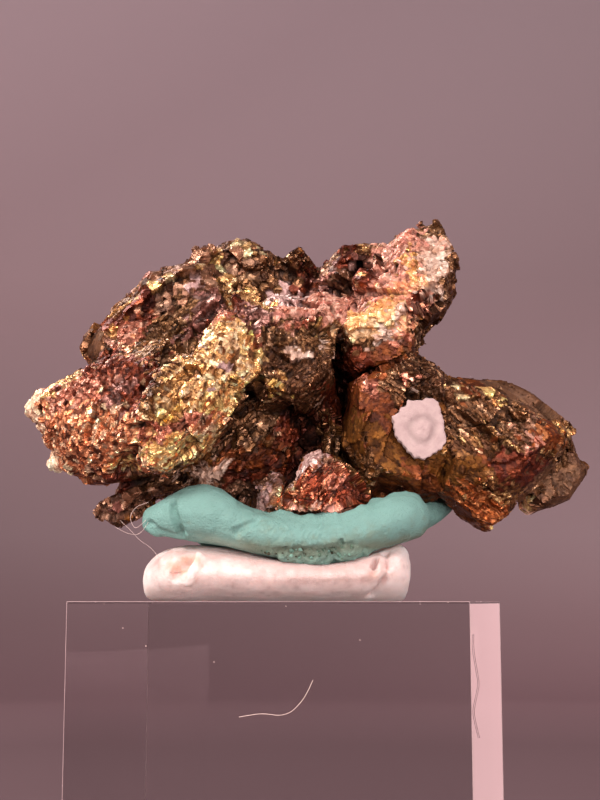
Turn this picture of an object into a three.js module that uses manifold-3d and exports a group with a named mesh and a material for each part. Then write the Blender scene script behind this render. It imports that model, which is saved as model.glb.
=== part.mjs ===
// A pyrite specimen on its display block: an irregular mass of tarnished brassy ore, pressed into a roll of
// green mineral putty, which sits on a flatter roll of white putty on a clear acrylic cube.
// Millimetres, +Z up. The origin is the centre of the cube's underside, and X and Y run along its sides.
import * as THREE from "three";
import { ImprovedNoise } from "three/addons/math/ImprovedNoise.js";
import { MeshSurfaceSampler } from "three/addons/math/MeshSurfaceSampler.js";
import { TessellateModifier } from "three/addons/modifiers/TessellateModifier.js";
import { mergeVertices } from "three/addons/utils/BufferGeometryUtils.js";
import Module from "manifold-3d";

const wasm = await Module();
wasm.setup();

const BLOCK_SIDE = 32; // a stock 1 1/4 inch display cube
const BLOCK_BEVEL = 0.15;
const SPECIMEN_TURN = THREE.MathUtils.degToRad(12); // how far the ore stands turned from the cube's sides
const GAP = 0.3; // between pieces that touch

const FACET = 5; // longest edge of a rough facet
const ROUGHNESS = 0.5; // how far a facet's corner strays from its lump to its sides and up and down
const DEPTH_ROUGHNESS = 0.8; // and along Y
const NOISE_SCALE = 1.7;
const PRESSED_CLEARANCE = ROUGHNESS + GAP; // how much wider than a lump its print in the putty is

// The lumps of ore. Each outline is seen from the front, [x, z] from the middle of the cube's top. depth is
// the y of that outline, and front and back are how far the lump swells towards the viewer and away. face and
// rear are the size of its foremost and hindmost facet beside the outline, and lean is how depth changes
// along x and along z.
const LUMPS = {
  goldLobe: {
    outline: [
      [-8.8, 23], [-5.6, 27.4], [-3.6, 26.6], [-3, 23], [-3.4, 19.2], [-5.4, 17.4], [-6.8, 14.6],
      [-9, 12.4], [-12, 10.6], [-15, 11], [-16, 15], [-13.4, 19],
    ],
    depth: -4, front: 6, back: 8, face: 0.62, lean: [0.05, 0.12],
  },
  redFlank: {
    outline: [
      [-24, 18.8], [-22, 19.8], [-19.5, 21.6], [-16, 23.4], [-11.5, 23.5], [-8, 19], [-10, 14], [-14, 10.8],
      [-18, 10.4], [-21.2, 12], [-24, 15],
    ],
    depth: 0.5, front: 6, back: 9, face: 0.55, lean: [-0.3, 0.15],
  },
  leftTip: {
    outline: [[-26, 17.6], [-25.2, 19.3], [-22, 20.4], [-20, 19], [-20.5, 14.5], [-23.4, 14.4]],
    depth: 5, front: 3.5, back: 4,
  },
  leftFoot: {
    outline: [[-24, 15.4], [-21, 15.6], [-17.4, 12.4], [-18.4, 11], [-20.6, 11], [-23.2, 12.6]],
    depth: 6, front: 4, back: 4,
  },
  innerSlope: {
    outline: [
      [-20.4, 22.3], [-18.4, 26.8], [-14.6, 30.4], [-11, 31.8], [-7, 29.6], [-5, 27], [-7, 22],
      [-12, 19], [-18, 19.6],
    ],
    depth: 4.5, front: 4.5, back: 8, face: 0.7, lean: [0, 0.2],
  },
  backRidge: {
    outline: [
      [-12, 32.6], [-10.4, 34.2], [-7.6, 34.8], [-5.6, 35.3], [-4, 34.2], [1, 33], [2.2, 29.8], [-0.4, 26],
      [-6.6, 25], [-11, 27.5],
    ],
    depth: 10, front: 3.5, back: 5.5, face: 0.7,
  },
  darkCrystal: {
    outline: [[-21, 22.4], [-20.4, 24.3], [-19.2, 26.1], [-17.4, 25.6], [-17.8, 23.2], [-19.3, 21.9]],
    depth: 4, front: 2, back: 4, face: 0.8,
  },
  oliveHead: {
    outline: [
      [-5, 25.4], [-0.6, 26.2], [2, 26], [3, 24], [2.7, 21], [2.4, 18], [0, 16], [-4.5, 17], [-6, 21],
    ],
    depth: -1, front: 6, back: 9, face: 0.7, lean: [0.1, 0.1],
  },
  undercut: {
    outline: [[-8, 18], [-4, 19], [3, 18.6], [3.4, 16.4], [3, 12], [1, 9], [-4, 7.6], [-7, 9], [-12, 11.5]],
    depth: 3, front: 5.5, back: 8, face: 0.75,
  },
  wedge: {
    outline: [
      [-2.4, 7.8], [-1.8, 10], [0, 12.4], [2, 13.2], [4.2, 11.4], [6.2, 9.2], [5.6, 7.8],
      [3.4, 6.9], [-0.4, 6.9],
    ],
    depth: -3, front: 4.5, back: 8, face: 0.6, lean: [0.12, -0.15],
  },
  leftKnee: {
    outline: [[-5, 8], [-4.6, 10.5], [-2.4, 12], [-1.6, 10], [-2, 7.4], [-3.6, 7]],
    depth: -1.5, front: 3.5, back: 6,
  },
  brownFace: {
    outline: [
      [4, 19.2], [6, 20.4], [9.6, 21.8], [11.6, 20.6], [13.6, 18.5], [13, 11.5], [12, 8.8],
      [7.6, 8.8], [5, 9.8],
      [3.5, 13.4], [3.9, 17],
    ],
    depth: -0.5, front: 6, back: 10, face: 0.75, lean: [0.05, -0.08],
  },
  neck: {
    outline: [[3.8, 23.6], [5.4, 24.3], [10, 24.2], [10.2, 21.6], [7.4, 20.2], [4.5, 19.8], [3.7, 21]],
    depth: -0.5, front: 4.5, back: 9, face: 0.75,
  },
  wingFoot: {
    outline: [
      [3.4, 24], [4, 25.2], [8.4, 26], [11.8, 27.2], [12.4, 25.6], [10.2, 23.6], [8.6, 22.7],
      [5, 22.4], [3.7, 22.8],
    ],
    depth: -3, front: 2.6, back: 7, face: 0.8,
  },
  wingBlade: {
    outline: [
      [4, 25], [4.6, 28.6], [6.6, 31.8], [9, 34], [12.2, 35.1], [12.9, 33.6], [14, 30.2],
      [13.4, 28], [11.8, 25.4],
      [9, 23.6],
    ],
    depth: 1, front: 3.6, back: 2.6, face: 0.84, rear: 0.85, lean: [-0.35, 0.45],
  },
  wingSpine: {
    outline: [[9, 24], [10.4, 28], [12.6, 33], [14, 31], [14.2, 28.6], [12.6, 25.6], [10.6, 23.4]],
    depth: 3.4, front: 5, back: 3.4, face: 0.6, lean: [0, 0.3],
  },
  wingBack: {
    outline: [[0.8, 29], [1.6, 32.4], [3.4, 33.8], [6, 34.4], [8.4, 34.2], [9, 29], [6, 26], [1.5, 26.6]],
    depth: 8.5, front: 3.6, back: 5, face: 0.7,
  },
  saddle: {
    outline: [[-6, 26], [-2.5, 28.4], [1.5, 28.8], [5, 27.6], [6, 23], [0, 21], [-5, 22]],
    depth: 5, front: 5, back: 8, face: 0.8, lean: [0, 0.3],
  },
  rightBody: {
    outline: [
      [9.6, 20.6], [12.6, 20], [17, 19.6], [21, 16.6], [23.8, 14.6], [22.4, 12], [19, 8.6],
      [15, 7.8], [11.4, 8.8],
      [10.4, 14.4],
    ],
    depth: 0.5, front: 6, back: 8, face: 0.66, lean: [0.1, 0.1],
  },
  fang: {
    outline: [[11.6, 9.2], [13.6, 12], [18.8, 12], [19, 8.8], [17.4, 7], [16.2, 6], [14.2, 7.3]],
    depth: -1.5, front: 3.4, back: 5, face: 0.6, lean: [0.1, -0.1],
  },
  rightRoof: {
    outline: [
      [10, 22.6], [13, 20.8], [16, 20.8], [19.4, 20.3], [22, 18.8], [24.4, 16.4], [23, 12], [12, 12],
    ],
    depth: 7, front: 5, back: 5.5, face: 0.75, lean: [0, 0.25],
  },
  rightEnd: {
    outline: [
      [21, 15], [24.6, 15.6], [25.4, 13.6], [26.1, 11.6], [24.6, 9.4], [21.2, 7.8], [20, 8.8], [20, 12],
    ],
    depth: 6.5, front: 3.6, back: 4.6, face: 0.7,
  },
  goldTab: {
    outline: [[22.8, 17], [25.2, 16.7], [25.1, 15.6], [24, 15], [22.8, 15.2]],
    depth: 4.6, front: 1.2, back: 2, face: 0.8,
  },
  lowerStub: {
    outline: [
      [-19, 7.6], [-18.6, 8.6], [-17.4, 9.6], [-16.8, 11.6], [-12, 12], [-9, 10.5], [-14, 8.8],
      [-15, 7.6], [-17.4, 7.1],
    ],
    depth: 3, front: 2.8, back: 3.6, face: 0.8,
  },
  heart: {
    outline: [
      [-14, 13], [-14, 24], [-6, 28], [4, 26], [12, 23], [20, 17], [20, 11], [10, 8], [-2, 8], [-10, 10],
    ],
    depth: 8, front: 4, back: 5, face: 0.9, rear: 0.72,
  },
  backShoulder: {
    outline: [[-13, 15], [-14, 22], [-9, 26], [-2, 24], [-1, 16], [-6, 12]],
    depth: 11, front: 3, back: 5,
  },
  backKnob: {
    outline: [[2, 12], [1, 18], [6, 22], [12, 19], [13, 13], [8, 9.5]],
    depth: 11.5, front: 3, back: 4.5,
  },
};

// Blocky crystals that stand out of a lump. size is their longest side, shape the ratio of their sides, turn
// the direction that they share, in radians about X, Y and Z, and stray how far each turns from it.
const CRYSTALS = [
  { on: "backRidge", count: 11, size: [1.6, 2.8], shape: [1, 0.9, 0.8], turn: [0.3, 0.5, 0.2], stray: 0.6 },
  { on: "innerSlope", count: 13, size: [1.4, 2.4], shape: [1, 0.8, 0.7], turn: [0.4, 0.7, 0.3], stray: 0.5 },
  { on: "redFlank", count: 11, size: [1.2, 2], shape: [1, 0.7, 0.6], turn: [0.2, 0.9, 0.1], stray: 0.5 },
  { on: "leftTip", count: 4, size: [1.2, 1.8], shape: [1, 0.9, 0.8], turn: [0.2, 0.3, 0.1], stray: 0.9 },
  { on: "goldLobe", count: 5, size: [1.2, 1.8], shape: [1, 0.7, 0.6], turn: [0.1, 0.9, 0.2], stray: 0.4 },
  { on: "wingBack", count: 8, size: [1.6, 2.6], shape: [1, 0.9, 0.8], turn: [0.2, 0.4, 0.3], stray: 0.5 },
  { on: "wingBlade", count: 6, size: [1.2, 2], shape: [1, 0.8, 0.6], turn: [0.5, 0.5, 0.1], stray: 0.3 },
  { on: "wingSpine", count: 5, size: [1.4, 2.2], shape: [1, 0.7, 0.5], turn: [0.2, 1.1, 0.3], stray: 0.4 },
  { on: "saddle", count: 6, size: [1.4, 2.2], shape: [1, 1, 0.9], turn: [0.5, 0.4, 0.6], stray: 0.6 },
  { on: "wedge", count: 6, size: [1.8, 3], shape: [1, 0.6, 0.5], turn: [0.2, -0.8, 0.2], stray: 0.15 },
  { on: "rightBody", count: 8, size: [1.8, 3], shape: [1, 0.6, 0.4], turn: [0.1, 0.6, 0.2], stray: 0.25 },
  { on: "rightRoof", count: 5, size: [1.6, 2.6], shape: [1, 0.7, 0.4], turn: [0.3, 0.7, 0], stray: 0.25 },
  { on: "rightEnd", count: 4, size: [1.4, 2.2], shape: [1, 0.7, 0.6], turn: [0.2, 0.5, 0.2], stray: 0.4 },
  { on: "oliveHead", count: 5, size: [1.4, 2.2], shape: [1, 0.7, 0.5], turn: [0.1, 0.2, 0.3], stray: 0.3 },
  { on: "heart", count: 8, size: [1.8, 3], shape: [1, 0.8, 0.7], turn: [0.4, 0.4, 0.4], stray: 0.5 },
  { on: "backShoulder", count: 6, size: [1.8, 3], shape: [1, 0.8, 0.7], turn: [0.4, 0.4, 0.4], stray: 0.5 },
  { on: "backKnob", count: 6, size: [1.6, 2.8], shape: [1, 0.8, 0.6], turn: [0.6, 0.3, 0.2], stray: 0.4 },
];
const CRYSTAL_SEED = 20240;
const CRYSTAL_PROUD = 0.12; // share of a crystal's size that lifts its centre off the surface

// Cracks and pits that go into the ore from the front, as outlines [x, z] and the y where each ends.
const CRACKS = [
  {
    outline: [
      [2.7, 24], [3.2, 23.9], [3.5, 21], [3.7, 19.6], [4.1, 18.3], [4, 17.2], [3.3, 16],
      [3.1, 16.4], [3.3, 17.6],
      [2.9, 18.8], [2.4, 20.4], [2.5, 22.4],
    ],
    to: 1,
  },
  { outline: [[3.6, 19.6], [4.8, 20.2], [7.2, 20.9], [7.2, 20.5], [5, 19.7], [3.9, 19]], to: -1 },
  { outline: [[0.2, 14.2], [0.5, 15.9], [1.5, 16.2], [2.2, 15], [1.6, 13.6], [0.8, 13]], to: -2 },
];
const CRACKS_FROM = -14;

// Rolls of putty: each station along the roll is [x, y, z, half depth, half height].
const GREEN_FRONT_ROLL = [
  [-13.9, -4, 6.9, 1, 0.9],
  [-11.8, -4.6, 7.2, 1.9, 1.7],
  [-9, -5, 7.5, 2.5, 2.5],
  [-7, -5.2, 7, 2.5, 2.3],
  [-4.6, -5.4, 5.9, 2.5, 1.8],
  [-1.5, -5.6, 5.3, 2.6, 1.8],
  [2, -5.6, 5.1, 2.7, 2],
  [5, -5.4, 5.9, 2.6, 2],
  [7.6, -5.2, 6.9, 2.6, 2.1],
  [9.6, -4.8, 7.1, 2.1, 1.8],
  [10.6, -4.6, 7.2, 1, 0.9],
];
const GREEN_BACK_ROLL = [
  [-9.8, 0, 6.6, 3, 1.4],
  [-5, 2, 6, 4.6, 2],
  [1, 2.6, 5.8, 5, 2],
  [7, 2.4, 6.4, 4.6, 1.8],
  [11.4, 2, 8.2, 2.2, 1.5],
  [13.2, 1.6, 9, 1.2, 1.1],
];
const WHITE_ROLL = [
  [-13.9, -1, 1.8, 3, 1.2],
  [-12, -1, 2.4, 6, 2.2],
  [-8, -1, 2.5, 7, 2.3],
  [-3, -1, 2.2, 7, 2],
  [2, -1, 2.1, 7, 1.9],
  [6, -1, 2.5, 6.8, 2.3],
  [8, -1, 2.7, 6, 2.5],
  [8.9, -1, 2.6, 4, 2],
];
const ROLL_STEPS = 14; // rings along a roll
const ROLL_SIDES = 12;
const FLAT_UNDER_WHITE = GAP; // the white roll is pressed flat at this height over the cube
const UNDER_SIZE = 60; // the block of space under it, wider than the roll

// The white crust that grows on the brown face: its outline [x, z] and the y of its two sides.
const CRUST = {
  outline: [
    [7.4, 15.6], [7.7, 16.4], [8.5, 16.4], [8.8, 17], [9.7, 16.9], [10.5, 17.2], [11.4, 16.9], [11.5, 16.1],
    [11.8, 15.3], [11.8, 14.4], [12.1, 13.6], [11.6, 12.8], [10.9, 12.4], [10.2, 11.9],
    [9.3, 12.1], [8.7, 12.6],
    [8.2, 13.3], [7.7, 13.8], [7.6, 14.7],
  ],
  from: -7.4,
  to: -6.5,
};

const COLOURS = {
  ore: new THREE.Color(0.42, 0.27, 0.17),
  crust: new THREE.Color(0.86, 0.76, 0.74),
  greenPutty: new THREE.Color(0.36, 0.62, 0.56),
  whitePutty: new THREE.Color(0.86, 0.74, 0.72),
  acrylic: new THREE.Color(0.92, 0.93, 0.93),
};

// A repeatable random number from 0 to 1, from a linear congruence.
function randomSource(seed) {
  let state = seed;
  return () => {
    state = (state * 1664525 + 1013904223) % 4294967296;
    return state / 4294967296;
  };
}

// A closed body from a list of rings of points, each [x, y, z], with flat ends. Every ring has as many
// points, and the rings follow each other along X or along Y.
function ringsToGeometry(givenRings, along = "y") {
  const flat = (ring) => ring.map((p) => new THREE.Vector2(along === "y" ? p[0] : p[1], p[2]));
  const clockwise = THREE.ShapeUtils.isClockWise(flat(givenRings[0]));
  const rings = clockwise ? givenRings.map((ring) => [...ring].reverse()) : givenRings;
  const sides = rings[0].length;
  const index = [];
  for (let ring = 0; ring + 1 < rings.length; ring++) {
    for (let i = 0; i < sides; i++) {
      const a = ring * sides + i;
      const b = ring * sides + ((i + 1) % sides);
      index.push(a, b, a + sides, b, b + sides, a + sides);
    }
  }
  const last = (rings.length - 1) * sides;
  for (const [a, b, c] of THREE.ShapeUtils.triangulateShape(flat(rings[0]), [])) index.push(a, c, b);
  for (const [a, b, c] of THREE.ShapeUtils.triangulateShape(flat(rings.at(-1)), [])) {
    index.push(last + a, last + b, last + c);
  }
  const geometry = new THREE.BufferGeometry();
  geometry.setAttribute("position", new THREE.Float32BufferAttribute(rings.flat(2), 3));
  geometry.setIndex(index);
  return geometry;
}

// A geometry as a solid, turned outside out if its faces point in.
function solidFrom(geometry) {
  const bare = geometry.clone();
  for (const name of Object.keys(bare.attributes)) {
    if (name !== "position") bare.deleteAttribute(name);
  }
  const merged = mergeVertices(bare, 1e-4);
  const vertProperties = new Float32Array(merged.attributes.position.array);
  const make = (order) =>
    new wasm.Manifold(new wasm.Mesh({ numProp: 3, vertProperties, triVerts: new Uint32Array(order) }));
  const order = Array.from(merged.index.array);
  const solid = make(order);
  return solid.volume() > 0 ? solid : make(order.reverse());
}

// A solid back as a geometry.
function geometryFrom(solid) {
  const mesh = solid.getMesh();
  const geometry = new THREE.BufferGeometry();
  geometry.setAttribute("position", new THREE.BufferAttribute(new Float32Array(mesh.vertProperties), 3));
  geometry.setIndex(new THREE.BufferAttribute(new Uint32Array(mesh.triVerts), 1));
  return geometry;
}

// The largest piece of a solid, without loose crumbs and sealed cavities.
function largestBody(solid) {
  return solid.decompose().reduce((best, body) => (body.volume() > best.volume() ? body : best));
}

// One lump of ore as rings of its outline from its foremost facet to its hindmost. grow makes it wider.
function lumpGeometry({ outline, depth, front, back, face = 0.55, rear = 0.65, lean = [0, 0] }, grow = 0) {
  const middleX = outline.reduce((sum, p) => sum + p[0], 0) / outline.length;
  const middleZ = outline.reduce((sum, p) => sum + p[1], 0) / outline.length;
  const ring = (offset, scale) =>
    outline.map(([x, z]) => {
      const dx = x - middleX;
      const dz = z - middleZ;
      const reach = scale + grow / Math.hypot(dx, dz);
      return [middleX + dx * reach, depth + offset + lean[0] * dx + lean[1] * dz, middleZ + dz * reach];
    });
  return ringsToGeometry([
    ring(-front - grow, face),
    ring(-front * 0.6 - grow, face + (1 - face) * 0.72),
    ring(0, 1),
    ring(back + grow, rear),
  ]);
}

const noise = new ImprovedNoise();

// Breaks a body's sides into facets, and moves their corners in and out.
function roughened(geometry) {
  const split = new TessellateModifier(FACET, 8).modify(geometry);
  for (const name of Object.keys(split.attributes)) {
    if (name !== "position") split.deleteAttribute(name);
  }
  const rough = mergeVertices(split, 1e-4);
  const place = rough.attributes.position;
  const at = new THREE.Vector3();
  for (let i = 0; i < place.count; i++) {
    at.fromBufferAttribute(place, i);
    const shift = [0, 31, 67].map((from) =>
      noise.noise(at.x / NOISE_SCALE + from, at.y / NOISE_SCALE + from, at.z / NOISE_SCALE + from),
    );
    at.x += ROUGHNESS * shift[0];
    at.y += DEPTH_ROUGHNESS * shift[1];
    at.z += ROUGHNESS * shift[2];
    place.setXYZ(i, at.x, at.y, at.z);
  }
  return rough;
}

// Blocky crystals half sunk in a lump's surface. grow makes them wider all round.
function crystalSolids(lump, { count, size, shape, turn, stray }, random, grow = 0) {
  const surface = lump.toNonIndexed();
  surface.computeVertexNormals();
  const sampler = new MeshSurfaceSampler(new THREE.Mesh(surface)).setRandomGenerator(random).build();
  const place = new THREE.Vector3();
  const normal = new THREE.Vector3();
  return Array.from({ length: count }, () => {
    sampler.sample(place, normal);
    const side = THREE.MathUtils.lerp(size[0], size[1], random());
    const crystal = new THREE.BoxGeometry(
      ...shape.map((ratio) => ratio * side * (0.85 + 0.3 * random()) + 2 * grow),
    );
    const angles = turn.map((angle) => angle + stray * (2 * random() - 1));
    crystal.applyMatrix4(new THREE.Matrix4().makeRotationFromEuler(new THREE.Euler(...angles)));
    place.addScaledVector(normal, CRYSTAL_PROUD * side);
    return solidFrom(crystal.translate(place.x, place.y, place.z));
  });
}

// An outline cut or raised straight along Y.
function slab(outline, from, to) {
  const ringAt = (y) => outline.map(([x, z]) => [x, y, z]);
  return solidFrom(ringsToGeometry([ringAt(from), ringAt(to)]));
}

const roughLumps = Object.fromEntries(
  Object.entries(LUMPS).map(([name, lump]) => [name, roughened(lumpGeometry(lump))]),
);

function allCrystals(grow) {
  const random = randomSource(CRYSTAL_SEED);
  return CRYSTALS.flatMap((patch) => crystalSolids(roughLumps[patch.on], patch, random, grow));
}

function oreSolid() {
  const mass = wasm.Manifold.union([...Object.values(roughLumps).map(solidFrom), ...allCrystals(0)]);
  const cuts = CRACKS.map(({ outline, to }) => slab(outline, CRACKS_FROM, to));
  return largestBody(mass.subtract(wasm.Manifold.union([...cuts, crustBed()])));
}

// The space that the ore takes up in what it is pressed into.
function orePrint() {
  const widerLumps = Object.values(LUMPS).map((lump) => solidFrom(lumpGeometry(lump, PRESSED_CLEARANCE)));
  return wasm.Manifold.union([...widerLumps, ...allCrystals(GAP)]);
}

// A roll through its stations, with rounded ends. grow makes it wider all round.
function rollSolid(stations, grow = 0) {
  const curves = [0, 1, 2, 3, 4].map(
    (part) => new THREE.SplineCurve(stations.map((s, i) => new THREE.Vector2(i, s[part]))),
  );
  const rings = [];
  for (let step = 0; step <= ROLL_STEPS; step++) {
    const [x, y, z, halfDepth, halfHeight] = curves.map((curve) => curve.getPoint(step / ROLL_STEPS).y);
    const end = (step === ROLL_STEPS ? grow : 0) - (step === 0 ? grow : 0);
    rings.push(
      Array.from({ length: ROLL_SIDES }, (_, side) => {
        const angle = (side / ROLL_SIDES) * 2 * Math.PI;
        const across = (halfDepth + grow) * Math.cos(angle);
        const up = (halfHeight + grow) * Math.sin(angle);
        return [x + end, y + across, z + up];
      }),
    );
  }
  return solidFrom(ringsToGeometry(rings, "x"));
}

function greenPuttySolid() {
  const pad = rollSolid(GREEN_FRONT_ROLL).add(rollSolid(GREEN_BACK_ROLL));
  return largestBody(pad.subtract(orePrint()));
}

function whitePuttySolid() {
  const overIt = rollSolid(GREEN_FRONT_ROLL, GAP).add(rollSolid(GREEN_BACK_ROLL, GAP));
  const underBox = new THREE.BoxGeometry(UNDER_SIZE, UNDER_SIZE, UNDER_SIZE);
  const under = solidFrom(underBox.translate(0, 0, FLAT_UNDER_WHITE - UNDER_SIZE / 2));
  return largestBody(rollSolid(WHITE_ROLL).subtract(overIt).subtract(under));
}

// The flat bed in the ore that the crust lies in.
function crustBed() {
  const { outline, to } = CRUST;
  const middle = [0, 1].map((axis) => outline.reduce((sum, p) => sum + p[axis], 0) / outline.length);
  const wider = outline.map(([x, z]) => {
    const reach = 1 + (2 * GAP) / Math.hypot(x - middle[0], z - middle[1]);
    return [middle[0] + (x - middle[0]) * reach, middle[1] + (z - middle[1]) * reach];
  });
  return slab(wider, CRACKS_FROM, to + GAP);
}

function crustGeometry() {
  return geometryFrom(slab(CRUST.outline, CRUST.from, CRUST.to));
}

// The cube, with its edges broken by a small bevel.
function blockGeometry() {
  const half = BLOCK_SIDE / 2 - BLOCK_BEVEL;
  const square = new THREE.Shape([
    new THREE.Vector2(-half, -half),
    new THREE.Vector2(half, -half),
    new THREE.Vector2(half, half),
    new THREE.Vector2(-half, half),
  ]);
  return new THREE.ExtrudeGeometry(square, {
    depth: BLOCK_SIDE - 2 * BLOCK_BEVEL,
    bevelThickness: BLOCK_BEVEL,
    bevelSize: BLOCK_BEVEL,
    bevelSegments: 1,
  }).translate(0, 0, BLOCK_BEVEL);
}

function piece(name, geometry, material) {
  const mesh = new THREE.Mesh(geometry, new THREE.MeshStandardMaterial(material));
  mesh.name = name;
  return mesh;
}

const onBlock = new THREE.Group();
onBlock.position.z = BLOCK_SIDE;
onBlock.rotation.z = SPECIMEN_TURN;
onBlock.add(
  piece("pyrite", geometryFrom(oreSolid()), { color: COLOURS.ore, roughness: 0.4, metalness: 0.8 }),
  piece("white_crust", crustGeometry(), { color: COLOURS.crust, roughness: 0.8 }),
  piece("green_putty", geometryFrom(greenPuttySolid()), { color: COLOURS.greenPutty, roughness: 0.75 }),
  piece("white_putty", geometryFrom(whitePuttySolid()), { color: COLOURS.whitePutty, roughness: 0.75 }),
);

const specimen = new THREE.Group();
specimen.add(
  piece("acrylic_block", blockGeometry(), {
    color: COLOURS.acrylic,
    roughness: 0.05,
    transparent: true,
    opacity: 0.35,
  }),
  onBlock,
);

export default specimen;
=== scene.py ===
"""The looks of a pyrite specimen on its display cube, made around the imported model.

Shapes are worked out in a view frame, in millimetres, as the photograph sees the specimen: x to the right,
y away from the viewer, and z up from the middle of the cube's top. The row frame is turned by 12 degrees.
"""
import itertools
import math
from collections import namedtuple

import bmesh
import bpy
import numpy as np
from mathutils import Matrix, Vector
from mathutils.bvhtree import BVHTree
from mathutils.kdtree import KDTree


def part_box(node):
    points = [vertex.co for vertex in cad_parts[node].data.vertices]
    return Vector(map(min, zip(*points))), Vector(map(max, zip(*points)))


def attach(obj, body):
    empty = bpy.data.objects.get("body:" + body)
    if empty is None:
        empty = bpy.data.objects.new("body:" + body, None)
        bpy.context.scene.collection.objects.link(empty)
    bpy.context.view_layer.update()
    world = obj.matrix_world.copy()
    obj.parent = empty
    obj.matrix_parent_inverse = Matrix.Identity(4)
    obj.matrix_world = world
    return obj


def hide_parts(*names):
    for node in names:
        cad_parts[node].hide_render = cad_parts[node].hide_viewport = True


MM = 0.001
VIEW_TURN = math.radians(12)

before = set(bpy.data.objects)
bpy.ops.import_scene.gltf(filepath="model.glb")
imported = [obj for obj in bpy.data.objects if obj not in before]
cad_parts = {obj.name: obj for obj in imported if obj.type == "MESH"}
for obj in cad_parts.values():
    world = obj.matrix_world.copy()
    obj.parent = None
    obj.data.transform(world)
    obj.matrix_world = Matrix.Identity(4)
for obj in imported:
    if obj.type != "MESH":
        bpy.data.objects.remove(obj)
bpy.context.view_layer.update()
CUBE_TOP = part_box("acrylic_block")[1].z
VIEW_TO_ROW = Matrix.Translation((0, 0, CUBE_TOP)) @ Matrix.Rotation(VIEW_TURN, 4, "Z") @ Matrix.Scale(MM, 4)

# The camera, in the view frame: level with the cube's top and tipped up.
CAMERA_AT = (-0.4, -125, 0)
CAMERA_TIP = math.radians(8.2)
CAMERA_LENS = 63
CAMERA_SENSOR = 36
PICTURE = (600, 800)

# All sizes from here on are in millimetres. Noise is given by its height, the size of its lumps and its seed.
ORE_VOXEL = 0.15  # spacing of the ore's fine mesh
COARSE_VOXEL = 0.3  # and of the mesh that its facets are planned on
WELD = 1e-4  # corners nearer to each other than this are one
ON_THE_CUT = 0.02
CUT_FLATNESS = 0.05  # the angle up to which faces on a cut are joined
# The fine mesh is parted by x, because one piece of it would be too large.
ORE_PARTS = ("left_ore", "lobe_ore", "middle_ore", "neck_ore", "right_ore")
ORE_CUTS = (-13, -6, 1.5, 10)
ORE_OVERLAP = 0.35
SEAM = 0.5  # how near a cut the normals of the whole solid are taken
FAR = 1000
RAKE_LEFT = math.radians(48)  # the grain of the left lobes and the wedge, up to the right from the front
RAKE_RIGHT = math.radians(-36)  # and that of the right lobe, down to the right
RAKE_CHANGES_AT = 6.5  # the x between them
RAKE_STRAY = (0.35, 5, 31)  # noise that turns the rake

DOMAIN_COUNT = 260  # crystals near each other share their directions: each domain has three axes of its own
AXIS_STRAY = 0.3  # how much chance there is in which axis a facet follows
LARGE_FACET = 3
LARGE_TILT = 0.7  # how far the large facets tilt, as a share of the small ones' tilt
LARGE_LIMIT = 0.55  # how far they move the surface at most
OUTWARD = 0.35  # the share of a facet's limit that the surface may move outwards
SEED_DEPTH = 0.65  # the share of the facets that lie below the surface
STEEPEST = 0.3  # a facet that leans further from the surface is taken to lean this far
SMOOTH_BELOW = 0.2  # faces that glitter less than this are shaded smooth

DEPTH_SHARE = np.array((1, 0.6, 1))  # a zone reaches further in depth than to its sides
ZONE_WARPS = ((0.7, 1.9, 11), (0.35, 0.8, 12))  # noise that makes the borders of the zones wander
ZONE_FADE = 1.3  # how fast a zone's pull fades beyond its reach
ZONE_FADE_POWER = 1.5
PULL_SHARPNESS = 1.8  # the higher, the less neighbouring zones mix
STRAY_PULL = 0.02  # how much plain bronze is mixed in everywhere
RELIEF_RAGGED = (0.35, 0.9, 21)
RELIEF_EDGE = 1.5  # a ledge or groove ends this many half widths away from its path
RELIEF_REACH = 1.6  # and is looked for no further than this
AT_ONCE = 20000  # points whose zones are found at once, to save memory
TONE_SPREAD = 0.15  # how much the brightness differs from crystal to crystal
BRIGHTEST = 0.98  # no part of a colour is higher than this

FINE_HOLLOW = 0.07  # depths that get the fullest painted shade and roughening
BROAD_HOLLOW = 0.4
FINE_ROUNDS = 3  # how many edges away the surroundings of a fine and of a broad hollow reach
BROAD_ROUNDS = 14
FINE_SHARE = 0.35  # the fine hollows' share of the painted shade and roughening
# Painted shade darkens the tints in hollows; edges are brightened partly as wear and partly as a painted
# highlight.
HOLLOW_SHADE_DARKENS = 0.72
EDGE_WEAR_AND_HIGHLIGHT = 0.35
DIRT_ROUGHENS = 0.2
GLOSSIEST = 0.2  # no crystal is less rough than this

GRAIN_SKEW = 1.6  # most grains are small
GRAIN_UNEVEN = 0.4  # how much their sides differ
CORNER_UNEVEN = 0.24  # and how far their corners stray

CRYSTALS_PER_MM = 3.4  # the smallest crystals, drawn by the material
CRYSTAL_STRETCH = 0.5
CRYSTAL_TILT = 0.9
PIT_DEPTH = 0.04
PIT_STRENGTH = 0.6
# Shades over the ore's tints, as stops of (value, shade): patches, dark specks on the metal, each crystal,
# and painted shade in the gaps between them. A shade that is a plain number is a grey.
ORE_MOTTLE = ((0.34, (0.7, 0.65, 0.62)), (0.6, 1))
ORE_SPECKS = ((0.37, (0.34, 0.28, 0.25)), (0.45, 1))
CRYSTAL_SHADES = ((0, (0.62, 0.58, 0.56)), (0.6, 1), (1, 1.2))
CRYSTAL_GAP_SHADE = ((0.48, 1), (0.78, (0.4, 0.34, 0.3)))

rng = np.random.default_rng(7)


def srgb(red, green, blue):
    """A colour as seen on a screen, from 0 to 255, as the linear values that shaders take."""
    part = np.array([red, green, blue]) / 255
    return tuple(np.where(part <= 0.04045, part / 12.92, ((part + 0.055) / 1.055) ** 2.4))


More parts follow.
